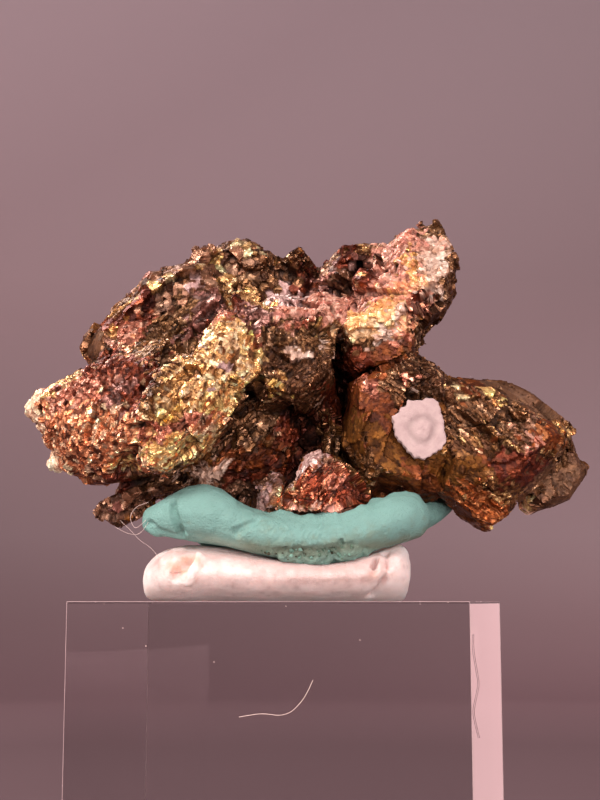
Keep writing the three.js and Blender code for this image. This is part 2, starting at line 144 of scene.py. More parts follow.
# Each palette is a list of tones: its share, its colour on a screen, how metallic it is and how rough.
Tone = namedtuple("Tone", "share colour metal rough")
PALETTES = {
    "pale gold": [
        (0.38, (226, 176, 118), 0.7, 0.36),
        (0.2, (222, 166, 104), 0.8, 0.33),
        (0.18, (246, 210, 162), 0.6, 0.36),
        (0.24, (118, 76, 42), 0.7, 0.42),
    ],
    "orange gold": [
        (0.5, (255, 200, 128), 0.6, 0.4),
        (0.24, (252, 172, 104), 0.65, 0.4),
        (0.15, (255, 226, 168), 0.6, 0.34),
        (0.11, (144, 88, 46), 0.7, 0.42),
    ],
    "yellow": [
        (0.4, (250, 204, 118), 0.7, 0.34),
        (0.2, (232, 178, 84), 0.75, 0.34),
        (0.15, (255, 232, 160), 0.6, 0.34),
        (0.25, (150, 102, 50), 0.7, 0.4),
    ],
    "yellow orange": [
        (0.5, (222, 158, 92), 0.25, 0.42),
        (0.25, (230, 178, 114), 0.25, 0.42),
        (0.25, (222, 144, 92), 0.25, 0.42),
    ],
    "pale yellow": [
        (0.5, (240, 194, 144), 0.25, 0.4),
        (0.25, (246, 216, 174), 0.2, 0.4),
        (0.25, (214, 162, 112), 0.35, 0.4),
    ],
    "rose": [
        (0.45, (194, 122, 98), 0.6, 0.38),
        (0.2, (174, 96, 72), 0.65, 0.38),
        (0.2, (220, 162, 138), 0.45, 0.38),
        (0.15, (102, 46, 30), 0.7, 0.42),
    ],
    "copper": [
        (0.4, (234, 156, 112), 0.7, 0.38),
        (0.2, (206, 120, 78), 0.75, 0.38),
        (0.2, (250, 202, 164), 0.65, 0.34),
        (0.2, (110, 58, 36), 0.7, 0.44),
    ],
    "wine": [
        (0.5, (108, 44, 22), 0.7, 0.48),
        (0.25, (132, 64, 38), 0.7, 0.46),
        (0.25, (78, 28, 14), 0.7, 0.5),
    ],
    "rust": [
        (0.5, (122, 60, 22), 0.6, 0.56),
        (0.25, (138, 74, 32), 0.6, 0.54),
        (0.25, (94, 42, 14), 0.6, 0.58),
    ],
    "orange red": [
        (0.5, (156, 82, 36), 0.75, 0.5),
        (0.25, (188, 118, 70), 0.75, 0.44),
        (0.25, (126, 60, 24), 0.75, 0.44),
    ],
    "fresh copper": [
        (0.42, (136, 58, 32), 0.75, 0.42),
        (0.3, (216, 136, 100), 0.8, 0.34),
        (0.28, (76, 26, 10), 0.75, 0.46),
    ],
    "bronze": [
        (0.5, (112, 66, 22), 0.75, 0.64),
        (0.3, (128, 80, 30), 0.75, 0.6),
        (0.2, (76, 42, 12), 0.75, 0.66),
    ],
    "olive": [
        (0.45, (130, 91, 58), 0.75, 0.42),
        (0.25, (104, 69, 40), 0.75, 0.44),
        (0.14, (182, 140, 106), 0.7, 0.36),
        (0.16, (72, 44, 24), 0.75, 0.46),
    ],
    "dark": [
        (0.5, (98, 62, 38), 0.75, 0.42),
        (0.28, (74, 44, 26), 0.75, 0.46),
        (0.15, (136, 94, 64), 0.75, 0.38),
        (0.07, (186, 146, 112), 0.8, 0.32),
    ],
    # Painted shadow: near black for the insides of cracks, pits and gaps.
    "deep": [
        (0.6, (66, 28, 14), 0.9, 0.6),
        (0.4, (44, 18, 8), 0.9, 0.6),
    ],
    "dark glitter": [
        (0.5, (134, 92, 60), 0.75, 0.38),
        (0.35, (98, 66, 42), 0.75, 0.42),
        (0.15, (196, 154, 118), 0.8, 0.32),
    ],
    "gold glitter": [
        (0.16, (226, 182, 124), 0.85, 0.3),
        (0.5, (150, 104, 62), 0.8, 0.38),
        (0.34, (98, 62, 38), 0.8, 0.42),
    ],
    "brown": [
        (0.42, (136, 94, 70), 0.55, 0.42),
        (0.25, (116, 76, 54), 0.6, 0.42),
        (0.15, (184, 140, 112), 0.5, 0.4),
        (0.18, (78, 45, 27), 0.6, 0.46),
    ],
    "smooth brown": [
        (0.5, (124, 86, 58), 0.5, 0.56),
        (0.5, (106, 70, 46), 0.5, 0.56),
    ],
    "pink sugar": [
        (0.5, (202, 138, 116), 0.25, 0.45),
        (0.2, (190, 122, 106), 0.3, 0.45),
        (0.2, (218, 168, 146), 0.2, 0.42),
        (0.1, (144, 82, 62), 0.35, 0.5),
    ],
    "salmon": [
        (0.5, (248, 170, 126), 0.25, 0.42),
        (0.25, (248, 188, 134), 0.25, 0.42),
        (0.25, (232, 154, 126), 0.25, 0.44),
    ],
    "white": [
        (0.5, (194, 158, 138), 0.2, 0.45),
        (0.25, (214, 186, 168), 0.15, 0.45),
        (0.25, (168, 126, 102), 0.3, 0.48),
    ],
    "cream": [
        (0.6, (248, 212, 182), 0.1, 0.5),
        (0.4, (236, 190, 156), 0.2, 0.5),
    ],
    "lilac": [
        (0.5, (188, 150, 144), 0.3, 0.45),
        (0.25, (214, 182, 174), 0.3, 0.42),
        (0.25, (132, 96, 86), 0.4, 0.48),
    ],
    "mauve": [
        (0.4, (158, 106, 94), 0.5, 0.42),
        (0.3, (120, 72, 60), 0.5, 0.44),
        (0.12, (208, 160, 148), 0.4, 0.4),
        (0.18, (78, 44, 34), 0.5, 0.46),
    ],
}

# How the surface breaks up: the width of its facets, how far they tilt, how much longer they are along the
# rake, how high their steps are and how strongly the smallest crystals on them glitter, then the loose grains
# on it, with their number on a square millimetre, their length, their sides beside it and how far they stray
# from their common direction.
Texture = namedtuple("Texture", "facet tilt stretch step glitter grains size shape stray")
TEXTURES = {
    "sugar": Texture(0.36, 0.55, 1.3, 0.2, 0.4, 0.25, (0.2, 0.42), (1, 0.8, 0.7), 0.5),
    "grains": Texture(0.4, 0.65, 1.7, 0.22, 0.6, 0.25, (0.22, 0.5), (1, 0.6, 0.5), 0.45),
    "blocks": Texture(0.6, 0.6, 1, 0.24, 0.45, 0.15, (0.3, 0.7), (1, 0.85, 0.7), 0.3),
    "plates": Texture(0.42, 0.55, 3.2, 0.22, 0.5, 0.28, (0.35, 0.9), (1, 0.26, 0.22), 0.14),
    "ribs": Texture(0.3, 0.5, 7, 0.16, 0.22, 0.2, (0.6, 1.2), (1, 0.2, 0.2), 0.05),
    "satin": Texture(0.42, 0.14, 1.6, 0.07, 0.24, 0.05, (0.2, 0.4), (1, 0.6, 0.4), 0.3),
    "smooth": Texture(1.1, 0.09, 1.4, 0.04, 0.12, 0.02, (0.25, 0.4), (1, 0.6, 0.4), 0.3),
}

# Soft zones of colour and texture. Those that the camera sees lie along a path of places in the picture, and
# their reach beside it is in millimetres.
Zone = namedtuple("Zone", "path reach palette texture")
SEEN_ZONES = {
    "left tip": ([(32, 415), (38, 400)], 1.2, "cream", "sugar"),
    "low left tip": ([(56, 458), (64, 468)], 1.0, "cream", "sugar"),
    # pale along the top edge, partly the crystals' own colour and partly a painted highlight
    "flank rim": ([(48, 396), (66, 382), (84, 370)], 0.8, "pale gold", "sugar"),
    "rose flank": ([(52, 402), (74, 390), (98, 376)], 1.5, "rose", "grains"),
    "copper flank": ([(50, 420), (80, 430), (120, 438)], 2.4, "copper", "grains"),
    "low copper flank": ([(70, 448), (104, 458), (130, 458)], 1.8, "copper", "grains"),
    "orange of the flank": ([(66, 428), (84, 402)], 0.8, "copper", "grains"),
    "mauve of the flank": ([(114, 396), (124, 390)], 1.0, "mauve", "grains"),
    "wine of the flank": ([(128, 412), (146, 384)], 1.3, "wine", "grains"),
    "rust under the flank": ([(72, 474), (96, 480)], 0.9, "rust", "satin"),
    "dark under the flank": ([(104, 476), (128, 484)], 1.0, "wine", "blocks"),
    "left foot": ([(106, 512), (132, 502), (150, 488)], 1.8, "brown", "blocks"),
    "rose of the foot": ([(112, 500), (124, 512)], 0.6, "mauve", "satin"),
    "olive crystal": ([(92, 350), (104, 334)], 1.2, "dark", "smooth"),
    "pale foot of the crystal": ([(84, 357), (92, 357)], 0.4, "pale gold", "blocks"),
    "upper flank": ([(100, 368), (122, 366), (148, 368)], 1.5, "wine", "grains"),
    "orange of the slope": ([(126, 342), (130, 350)], 0.8, "copper", "grains"),
    "red slope": ([(112, 322), (128, 312), (148, 298)], 1.3, "wine", "blocks"),
    "rose of the slope": ([(126, 336), (138, 322), (146, 314)], 1.1, "rose", "grains"),
    "olive slope": ([(140, 350), (160, 334), (176, 318)], 2.0, "olive", "grains"),
    "brown slope": ([(158, 300), (172, 296)], 1.8, "brown", "blocks"),
    "low slope": ([(150, 384), (168, 362), (182, 346)], 1.4, "olive", "plates"),
    # pale along the top edge, partly the crystals' own colour and partly a painted highlight
    "slope rim": ([(100, 318), (116, 306), (138, 292), (146, 278), (160, 268)], 0.45, "pale gold", "blocks"),
    "mauve ledges": ([(186, 334), (204, 316), (216, 300)], 1.0, "mauve", "plates"),
    "gold of the ridge": ([(170, 278), (178, 277)], 0.7, "pale gold", "blocks"),
    "grey crystal": ([(192, 284)], 0.8, "lilac", "satin"),
    "ridge": ([(186, 268), (204, 266), (230, 272)], 2.0, "brown", "blocks"),
    "orange of the ridge": ([(214, 262), (220, 272)], 0.9, "orange gold", "blocks"),
    # pale along the top edge, partly the crystals' own colour and partly a painted highlight
    "ridge tips": ([(194, 254), (216, 248), (245, 244)], 0.45, "pale gold", "blocks"),
    "right ridge": ([(256, 268), (284, 270)], 2.2, "dark", "blocks"),
    # pale along the top edge, partly the crystals' own colour and partly a painted highlight
    "right ridge top": ([(250, 254), (276, 256), (306, 264)], 0.45, "pale gold", "blocks"),
    "olive under the ridge": ([(250, 284), (268, 288)], 1.4, "olive", "blocks"),
    "red hollow": ([(300, 282), (308, 276)], 1.2, "wine", "blocks"),
    "lilac hollow": ([(280, 300), (290, 292), (296, 304)], 1.2, "lilac", "blocks"),
    "gold cap": ([(236, 290), (246, 292), (258, 302)], 0.9, "pale gold", "grains"),
    "side of the cap": ([(250, 312), (262, 324)], 1.0, "mauve", "plates"),
    "cavity of the cap": ([(216, 310), (230, 306)], 0.7, "wine", "satin"),
    "pink band": ([(208, 324), (220, 319), (232, 315)], 0.5, "rose", "sugar"),
    "pale gold face": ([(192, 356), (204, 342), (216, 330)], 1.5, "pale gold", "sugar"),
    "yellow top": ([(226, 344), (232, 330)], 0.9, "pale yellow", "sugar"),
    "orange gold face": ([(246, 354), (250, 336)], 1.2, "orange gold", "grains"),
    "rose edge": ([(261, 352), (260, 336)], 0.5, "rose", "grains"),
    "gold middle": ([(184, 388), (206, 380), (236, 372), (250, 366)], 1.6, "pale gold", "sugar"),
    "grey patch": ([(220, 380), (228, 372)], 0.7, "lilac", "grains"),
    "right gold": ([(212, 402), (236, 392), (250, 380)], 1.1, "orange gold", "grains"),
    "yellow spot": ([(168, 416), (178, 412)], 0.9, "yellow", "grains"),
    "left gold": ([(150, 416), (158, 402), (170, 392)], 1.0, "pale gold", "sugar"),
    "rose patch": ([(144, 434), (160, 436)], 0.8, "rose", "grains"),
    "orange rose": ([(190, 440), (202, 424), (214, 412)], 1.1, "copper", "plates"),
    "rose streaks": ([(188, 428), (198, 414)], 0.6, "rose", "plates"),
    "low gold face": ([(150, 452), (172, 454), (192, 448)], 1.3, "orange gold", "grains"),
    "low pale edge": ([(178, 462), (200, 450), (212, 432)], 0.6, "pale gold", "sugar"),
    "low gold edge": ([(114, 468), (130, 470)], 0.9, "orange gold", "grains"),
    "lobe underside": ([(144, 480), (172, 474)], 1.0, "olive", "plates"),
    "lilac ledge": ([(180, 481), (205, 477), (234, 464)], 0.5, "white", "plates"),
    "under the ledge": ([(170, 494), (214, 490)], 1.2, "dark", "plates"),
    "head": ([(278, 338), (300, 338), (322, 338)], 1.4, "olive", "grains"),
    "head gold": ([(318, 330)], 0.6, "orange gold", "grains"),
    "white vein": ([(277, 351), (296, 355), (314, 357)], 0.42, "white", "sugar"),
    "second vein": ([(320, 347), (330, 350)], 0.35, "white", "sugar"),
    # The next two zones are dark as painted shade on the lobe's shaded side and under its edge.
    "beside the lobe": ([(270, 330), (272, 352), (268, 372)], 0.9, "dark", "plates"),
    "under the lobe": ([(258, 388), (244, 402), (232, 418), (220, 440)], 0.7, "dark", "plates"),
    # painted shadow in the crack
    "crack": (
        [(337, 332), (338, 353), (333, 363), (336, 376), (342, 394), (346, 409)],
        0.4, "deep", "grains",
    ),
    # painted shadow in the side crack
    "side crack": ([(349, 384), (358, 379), (384, 371), (397, 363)], 0.3, "deep", "grains"),
    "core": ([(290, 376), (312, 372), (300, 396)], 2.0, "dark", "grains"),
    "gold glints": ([(262, 386), (272, 382), (284, 386)], 0.8, "yellow", "plates"),
    "bright facet": ([(315, 405)], 0.3, "white", "satin"),
    "wine block": ([(328, 390), (336, 404)], 1.2, "wine", "satin"),
    "red of the core": ([(282, 428), (292, 442)], 0.9, "wine", "grains"),
    # painted shadow in the recess of the core
    "dark of the core": ([(300, 418), (308, 430), (316, 438)], 1.3, "deep", "grains"),
    "olive of the core": ([(326, 428), (332, 448)], 1.1, "olive", "grains"),
    "glittering recess": ([(244, 420), (262, 424), (272, 410)], 1.5, "dark glitter", "plates"),
    "olive recess": ([(254, 440), (270, 434)], 1.3, "olive", "satin"),
    "pink facet": ([(248, 442)], 0.4, "rose", "satin"),
    "rusty recess": ([(240, 460), (262, 454), (280, 450)], 1.2, "rust", "plates"),
    "red line": ([(236, 474), (262, 470), (280, 466)], 0.8, "wine", "plates"),
    "brown of the knee": ([(246, 494), (272, 484)], 1.1, "brown", "plates"),
    "pink knee": ([(262, 500), (268, 484), (274, 474)], 0.7, "lilac", "sugar"),
    "orange knee": ([(282, 506), (288, 494)], 0.8, "copper", "plates"),
    "lilac of the wedge": ([(292, 482), (304, 468), (314, 458)], 0.6, "lilac", "ribs"),
    "olive of the wedge": ([(322, 464), (328, 472)], 0.9, "brown", "satin"),
    "steps of the wedge": ([(308, 488), (318, 480), (328, 474)], 1.1, "fresh copper", "ribs"),
    "block of the wedge": ([(338, 480), (344, 484)], 0.6, "rose", "ribs"),
    "low steps": ([(306, 502), (322, 496), (334, 498)], 1.0, "fresh copper", "ribs"),
    "foot of the wedge": ([(294, 512), (306, 508), (330, 514)], 0.8, "pink sugar", "ribs"),
    "red facet": ([(352, 482), (358, 500)], 1.3, "wine", "grains"),
    "olive over the wedge": ([(340, 460), (352, 464)], 1.0, "olive", "satin"),
    "low yellow fringe": ([(334, 330), (350, 336), (364, 334)], 0.7, "pale yellow", "sugar"),
    "under the fringe": ([(346, 344), (366, 344)], 0.8, "olive", "grains"),
    "white tooth": ([(374, 350), (380, 344)], 0.4, "white", "plates"),
    "red block": ([(346, 366), (360, 364)], 1.1, "wine", "blocks"),
    "rust block": ([(380, 360), (396, 354)], 1.1, "rust", "satin"),
    "pink crystals": ([(370, 380), (380, 390)], 0.8, "rose", "blocks"),
    "low rust block": ([(358, 398), (372, 404), (382, 414)], 1.6, "rust", "satin"),
    "striped brown": ([(390, 382), (402, 392)], 1.1, "dark glitter", "plates"),
    "flat pink facet": ([(411, 381)], 0.5, "rose", "satin"),
    "white sliver": ([(410, 392), (418, 384)], 0.35, "white", "plates"),
    "olive face": ([(352, 430), (372, 436), (384, 460)], 2.0, "bronze", "satin"),
    "rust spot": ([(364, 443)], 0.5, "rust", "satin"),
    "mottled face": ([(366, 466), (380, 476)], 1.4, "olive", "grains"),
    "rusty band": ([(386, 488), (410, 478), (430, 486)], 1.2, "rust", "satin"),
    "rose lip": ([(288, 322), (304, 320)], 0.6, "rose", "sugar"),
    "red lip": ([(326, 321), (344, 324)], 0.4, "rose", "smooth"),
    "pink slope": ([(306, 308), (328, 302), (346, 296)], 1.6, "pink sugar", "sugar"),
    "mauve slope": ([(314, 288), (326, 282)], 1.5, "mauve", "blocks"),
    "bowl": ([(346, 286), (330, 268)], 1.1, "brown", "blocks"),
    "red block of the bowl": ([(328, 258), (344, 252)], 1.2, "wine", "satin"),
    "pink block of the bowl": ([(350, 262), (360, 258)], 0.8, "mauve", "blocks"),
    # painted shadow in the pit of the bowl
    "pit of the bowl": ([(362, 272), (376, 268)], 0.9, "deep", "satin"),
    # pale along the top edge, partly the crystals' own colour and partly a painted highlight
    "top of the bowl": ([(324, 254), (346, 247), (362, 246)], 0.5, "pale gold", "blocks"),
    "big pink crystal": ([(374, 256), (380, 248)], 0.9, "pink sugar", "satin"),
    "pink wing": ([(394, 268), (400, 250), (416, 240)], 1.7, "pink sugar", "sugar"),
    # pale along the top edge, partly the crystals' own colour and partly a painted highlight
    "pale top of the wing": ([(392, 240), (404, 232)], 0.7, "pale gold", "sugar"),
    "wing tip": ([(426, 230), (436, 228)], 0.8, "olive", "grains"),
    "pale panel": ([(434, 240), (441, 250)], 0.8, "white", "satin"),
    "pale wing": ([(423, 262), (430, 272), (426, 284)], 1.0, "white", "sugar"),
    "rim of the wing": ([(440, 254), (439, 270), (433, 284), (425, 295)], 0.42, "white", "sugar"),
    "yellow of the wing": ([(408, 270), (404, 262)], 0.8, "yellow orange", "sugar"),
    "orange of the wing": ([(412, 282), (400, 290), (388, 296)], 1.3, "salmon", "sugar"),
    "rose of the wing": ([(418, 296), (410, 302)], 0.9, "rose", "grains"),
    "pink of the wing": ([(352, 302), (372, 294), (384, 278)], 1.0, "pink sugar", "sugar"),
    "yellow wing": ([(356, 314), (370, 310), (384, 304)], 1.2, "yellow orange", "sugar"),
    "pale yellow wing": ([(366, 320), (384, 320)], 0.9, "pale yellow", "grains"),
    "green of the wing": ([(363, 326)], 0.4, "olive", "smooth"),
    "white strip": ([(376, 338), (388, 324), (402, 310)], 0.6, "white", "ribs"),
    "grooved block": ([(398, 332), (406, 316)], 0.7, "salmon", "ribs"),
    "low pink block": ([(388, 344), (398, 338)], 0.5, "rose", "plates"),
    # painted shadow in the gap beside the wing
    "gap beside the wing": ([(426, 292), (420, 304)], 0.5, "deep", "grains"),
    "edge of the wing": (
        [(455, 252), (457, 280), (449, 298), (437, 316), (421, 340)],
        1.2, "dark", "blocks",
    ),
    "glitter of the edge": ([(450, 270), (444, 290)], 0.6, "dark glitter", "grains"),
    "neck": ([(412, 362), (422, 376), (444, 390)], 1.4, "dark", "grains"),
    "gold block": ([(450, 396), (464, 392)], 0.5, "pale gold", "plates"),
    "brown top": ([(468, 387), (480, 386)], 0.7, "rust", "plates"),
    "roof edge": ([(484, 392), (494, 396), (504, 405)], 0.5, "orange gold", "satin"),
    "roof": ([(500, 392), (528, 404), (552, 420)], 1.8, "smooth brown", "smooth"),
    "gold tab": ([(558, 426), (570, 430)], 0.8, "gold glitter", "blocks"),
    "bronze lobe": ([(456, 412), (474, 412), (496, 420), (514, 428)], 2.0, "dark glitter", "plates"),
    "glitter of the lobe": ([(474, 432), (490, 436), (504, 442)], 0.9, "gold glitter", "plates"),
    "low glitter": ([(458, 446), (474, 452)], 0.8, "gold glitter", "plates"),
    "brown of the lobe": ([(514, 430), (528, 432)], 1.0, "brown", "plates"),
    "orange red": ([(536, 430), (552, 438)], 1.1, "orange red", "satin"),
    "pink glints": ([(526, 440), (536, 446)], 0.6, "rose", "ribs"),
    "right glints": ([(544, 452), (556, 458)], 0.6, "gold glitter", "plates"),
    "red lobe": ([(500, 470), (518, 470), (538, 462)], 1.4, "wine", "satin"),
    "orange of the lobe": ([(480, 448), (492, 456)], 0.9, "rust", "satin"),
    "olive of the lobe": ([(446, 464), (464, 466), (482, 468)], 1.3, "bronze", "satin"),
    "gold stripes": ([(490, 484), (504, 492), (516, 498)], 1.0, "gold glitter", "ribs"),
    "fang": ([(470, 492), (484, 506), (492, 520)], 1.4, "orange red", "ribs"),
    "fang glints": ([(458, 490), (472, 498)], 0.6, "gold glitter", "plates"),
    "rust of the fang": ([(446, 500), (460, 512), (472, 520)], 0.9, "rust", "satin"),
    "fang tip": ([(488, 528), (500, 518)], 0.6, "orange gold", "plates"),
    "right end": ([(540, 488), (560, 478), (570, 490)], 2.0, "smooth brown", "satin"),
    "glitter of the end": ([(558, 462), (568, 450)], 0.9, "olive", "grains"),
    "orange foot": ([(524, 508), (532, 504)], 0.6, "orange gold", "satin"),
    "dark under the end": ([(520, 496), (540, 504)], 0.8, "dark", "plates"),
}

# Ledges and grooves too fine for the solid, along paths in the picture: their half width and how far they
# rise.
GROOVE = [(124, 476), (138, 450), (152, 425), (168, 388), (186, 352), (203, 332)]
LOBE_SIDE = [(270, 326), (273, 350), (266, 376), (250, 396), (238, 414), (226, 436), (214, 456)]
CRACK = [(336, 328), (338, 353), (332, 363), (336, 377), (342, 394), (346, 410), (340, 422)]
ORE_RELIEF = {
    "groove beside the gold lobe": (GROOVE, 0.9, -0.9),
    "step beside the lobe": (LOBE_SIDE, 0.65, -0.4),
    "rim of the lobe": ([(258, 326), (261, 350), (254, 374), (238, 392), (218, 424)], 0.4, 0.35),
    "cavity of the cap": ([(214, 311), (232, 305)], 0.75, -1.1),
    "pit of the cap": ([(238, 302)], 0.4, -0.9),
    "tip of the cap": ([(244, 286), (256, 296)], 0.8, 0.6),
    "crack of the core": (CRACK, 0.38, -2.2),
    "crack under the rust block": ([(347, 385), (358, 380), (384, 371), (398, 363)], 0.4, -1.2),
    "crack over the wedge": ([(300, 447), (297, 463), (290, 485), (292, 505)], 0.5, -1),
    "crack beside the wedge": ([(330, 454), (344, 474), (350, 496)], 0.35, -0.7),
    "recess of the core": ([(302, 424), (314, 436)], 0.9, -0.8),
    "lilac ledge": ([(180, 481), (205, 477), (234, 464)], 0.45, 0.5),
    "white vein": ([(280, 353), (296, 356), (314, 357)], 0.28, 0.2),
    "lip of the wing": ([(286, 322), (305, 320), (330, 323), (347, 326)], 0.4, 0.4),
    "under the lip": ([(288, 330), (310, 329), (332, 331)], 0.45, -0.5),
    "white strip": ([(376, 338), (388, 324), (402, 310)], 0.4, 0.4),
    "gap beside the wing": ([(431, 288), (425, 300), (416, 312)], 0.5, -0.9),
    "pit of the bowl": ([(362, 272), (376, 269)], 0.9, -1.2),
    "block of the bowl": ([(330, 256), (346, 250)], 1.0, 0.5),
    "big pink crystal": ([(372, 257), (380, 249)], 0.9, 0.5),
    "edge of the roof": ([(448, 397), (468, 394), (490, 394), (505, 404), (520, 413)], 0.5, 0.5),
    "groove under the roof": ([(500, 414), (520, 420), (545, 427)], 0.35, -0.5),
    "gold tab": ([(556, 425), (572, 428)], 0.6, 0.4),
    "groove beside the end": ([(512, 508), (534, 486), (556, 456)], 0.4, -0.7),
    "fold of the lobe": ([(470, 474), (500, 470), (530, 458)], 0.5, -0.4),
    "groove of the flank": ([(96, 372), (124, 404), (142, 430)], 0.5, -0.5),
    "rim of the flank": ([(46, 400), (66, 386), (88, 372)], 0.5, 0.3),
    "dark crystal": ([(92, 354), (98, 342), (104, 334)], 0.8, 0.1),
    "groove beside the crystal": ([(114, 330), (110, 350), (100, 364)], 0.4, -0.8),
    "shoulder": ([(146, 284), (156, 275), (174, 270)], 1.1, 0.3),
    "dip of the shoulder": ([(118, 300), (134, 291)], 1.0, -0.5),
    "top of the ridge": ([(190, 258), (212, 251)], 1.2, 0.5),
    "dip of the ridge": ([(284, 254), (306, 252)], 1.6, -0.6),
    "top of the wing": ([(388, 245), (404, 238)], 1.0, 0.5),
    "low left bulge": ([(58, 464), (66, 472)], 0.8, 0.7),
    "behind the neck": ([(424, 360), (436, 366), (450, 376)], 1.1, -0.7),
}

# Rows of thin plates: how many, where the first one starts, how far apart they are, where each one ends
# beside its start, how much lower each end is than the one before, and their relief.
PlateRow = namedtuple("PlateRow", "count start apart end lower width rise")
PLATE_ROWS = {
    "wedge": PlateRow(6, (296, 492), (8, 2), (20, -28), 3, 0.26, 0.55),
    "lobe": PlateRow(7, (448, 404), (9, 7), (34, 19), 0, 0.24, 0.35),
    "fang": PlateRow(5, (456, 486), (9, 2), (22, 20), 0, 0.22, 0.35),
}
for place, row in PLATE_ROWS.items():
    for plate in range(row.count):
        across = row.start[0] + row.apart[0] * plate
        down = row.start[1] + row.apart[1] * plate
        path = [(across, down), (across + row.end[0], down + row.end[1] + row.lower * plate)]
        ORE_RELIEF[f"plate {plate} of the {place}"] = (path, row.width, row.rise)

# The zones out of the camera's sight, by their middles in the view frame.
FAR_ZONES = {
    "back of the flank": ((-20, 12, 16), 4, "copper", "grains"),
    "back of the slope": ((-13, 15, 26), 4.5, "olive", "blocks"),
    "back of the ridge": ((-7, 16, 31), 4, "brown", "blocks"),
    "middle of the back": ((-3, 18, 20), 5, "bronze", "plates"),
    "rust at the back": ((-10, 18, 15), 4, "rust", "smooth"),
    "back of the wing": ((9, 12, 31), 4.5, "dark glitter", "grains"),
    "wine at the back": ((4, 17, 25), 3.5, "wine", "blocks"),
    "back of the lobe": ((14, 14, 14), 5, "smooth brown", "smooth"),
    "gold at the back": ((8, 17, 17), 2.5, "gold glitter", "plates"),
    "underside": ((-2, 4, 5), 4, "brown", "grains"),
}

# Folds, cracks and lumps of the putty, along paths in the picture.
GREEN_RELIEF = {
    "crease of the left end": ([(173, 504), (176, 520), (181, 532), (186, 544)], 0.4, -0.5),
    "lower crease": ([(150, 524), (166, 533), (182, 537)], 0.35, -0.3),
    "lower lip": ([(152, 530), (168, 538), (190, 545)], 0.35, 0.2),
    "crease of the middle": ([(236, 532), (245, 527), (255, 522)], 0.35, -0.25),
    "hump": ([(196, 500), (214, 498)], 2.2, 0.25),
    "right hump": ([(390, 510), (410, 512)], 2.4, 0.2),
    "crack": ([(341, 541), (342, 546)], 0.2, -0.4),
    "crumbled edge": ([(286, 556), (304, 561), (322, 560)], 0.7, 0.35),
    "second crumbled edge": ([(342, 553), (360, 554)], 0.7, 0.35),
    "hollow between the crumbs": ([(326, 554), (336, 553)], 0.5, -0.4),
    "seam over the crumbs": ([(276, 549), (300, 550), (330, 548), (352, 546)], 0.3, -0.15),
}
WHITE_RELIEF = {
    "pit of the left end": ([(175, 574), (182, 567), (189, 560)], 0.55, -0.8),
    "lobe over the pit": ([(166, 560), (178, 552)], 0.8, 0.25),
    "ledge beside the pit": ([(188, 578), (195, 568), (198, 558)], 0.45, 0.35),
    "curl of the right end": ([(386, 553), (389, 566), (382, 583), (370, 592)], 0.3, -0.4),
    "nick": ([(376, 560), (374, 567)], 0.28, -0.7),
    "dimple": ([(375, 572)], 0.3, -0.25),
}

# Stains on the putty, among them patches of painted shade and a painted glow: a path in the picture, a reach,
# a colour and how strong it is.
GREEN_STAINS_AND_SHADE = [
    ([(250, 546), (300, 553), (350, 548), (400, 541), (424, 532)], 1.0, srgb(118, 126, 104), 0.75),
    ([(280, 549), (320, 551), (350, 547)], 0.35, srgb(84, 84, 66), 0.6),
    ([(292, 560), (318, 562)], 0.6, srgb(118, 154, 138), 0.8),
    ([(346, 555), (362, 554)], 0.6, srgb(116, 154, 140), 0.8),
    # painted shade in the crease of the left end
    ([(175, 508), (176, 520), (181, 532)], 0.35, srgb(70, 116, 104), 0.6),
    ([(210, 540), (240, 546)], 0.8, srgb(160, 176, 158), 0.5),
]
WHITE_STAINS_AND_PAINTED_LIGHT = [
    # painted shade over the upper band, where the light falls strongest
    ([(160, 560), (230, 557), (300, 567), (380, 562)], 1.6, srgb(200, 167, 162), 0.9),
    ([(178, 568), (190, 561)], 0.7, srgb(222, 178, 140), 0.7),
    ([(376, 560), (374, 566)], 0.22, srgb(96, 74, 56), 0.9),
    ([(375, 573)], 0.35, srgb(226, 170, 148), 0.6),
    # a painted warm glow along the foot
    ([(156, 600), (270, 601), (396, 601)], 0.22, srgb(250, 186, 156), 0.7),
]
STAIN_AND_SHADE_RAGGED = ((0.5, 0.6, 41), (0.3, 0.25, 42))  # noise along the borders of the stains and painted patches

# How a roll of putty is made from its solid: rounds of smoothing, how far it then swells, noise on it, the
# depth of its finest wrinkles, how much light sinks into it and how deep, and its shine.
Roll = namedtuple("Roll", "smoothing swell noise wrinkles glow glow_depth shine colour reliefs stains")
ROLLS = {
    "green_putty": Roll(
        36, 0.05, ((0.05, 1.6, 62), (0.02, 0.6, 63)), 0.13, 0.2, 0.5, 0.3,
        srgb(120, 160, 152), GREEN_RELIEF, GREEN_STAINS_AND_SHADE,
    ),
    "white_putty": Roll(
        90, 0.12, ((0.09, 2.4, 64), (0.03, 0.8, 65)), 0.1, 0.8, 2, 0.15,
        srgb(248, 224, 219), WHITE_RELIEF, WHITE_STAINS_AND_PAINTED_LIGHT,
    ),
}
PUTTY_VOXEL = 0.16
PUTTY_MOTTLE = ((0.3, (0.9, 0.9, 0.89)), (0.7, 1))
PUTTY_ROUGHNESS = ((0.3, 0.52), (0.7, 0.7))
PUTTY_STREAKED = (0.35, 1, 1)
GLOW_RADIUS = (1, 0.82, 0.74)  # red light sinks in deepest

# The skin prints on the green roll: where they are seen, how far they reach, how deep they are and how far
# apart, in which direction they follow each other, and noise that bends them and that breaks them up.
PRINTS_AT = (302, 532)
PRINTS_REACH = (3.6, 4, 1.6)
PRINTS_DEPTH = 0.24
PRINTS_APART = 0.62
PRINTS_ALONG = (1, 0.1, 0.2)
PRINTS_BENT = (0.9, 1.3, 51)
PRINTS_BROKEN = (0.7, 52)
PRINTS_SQUASH = (1, 1, 0.7)

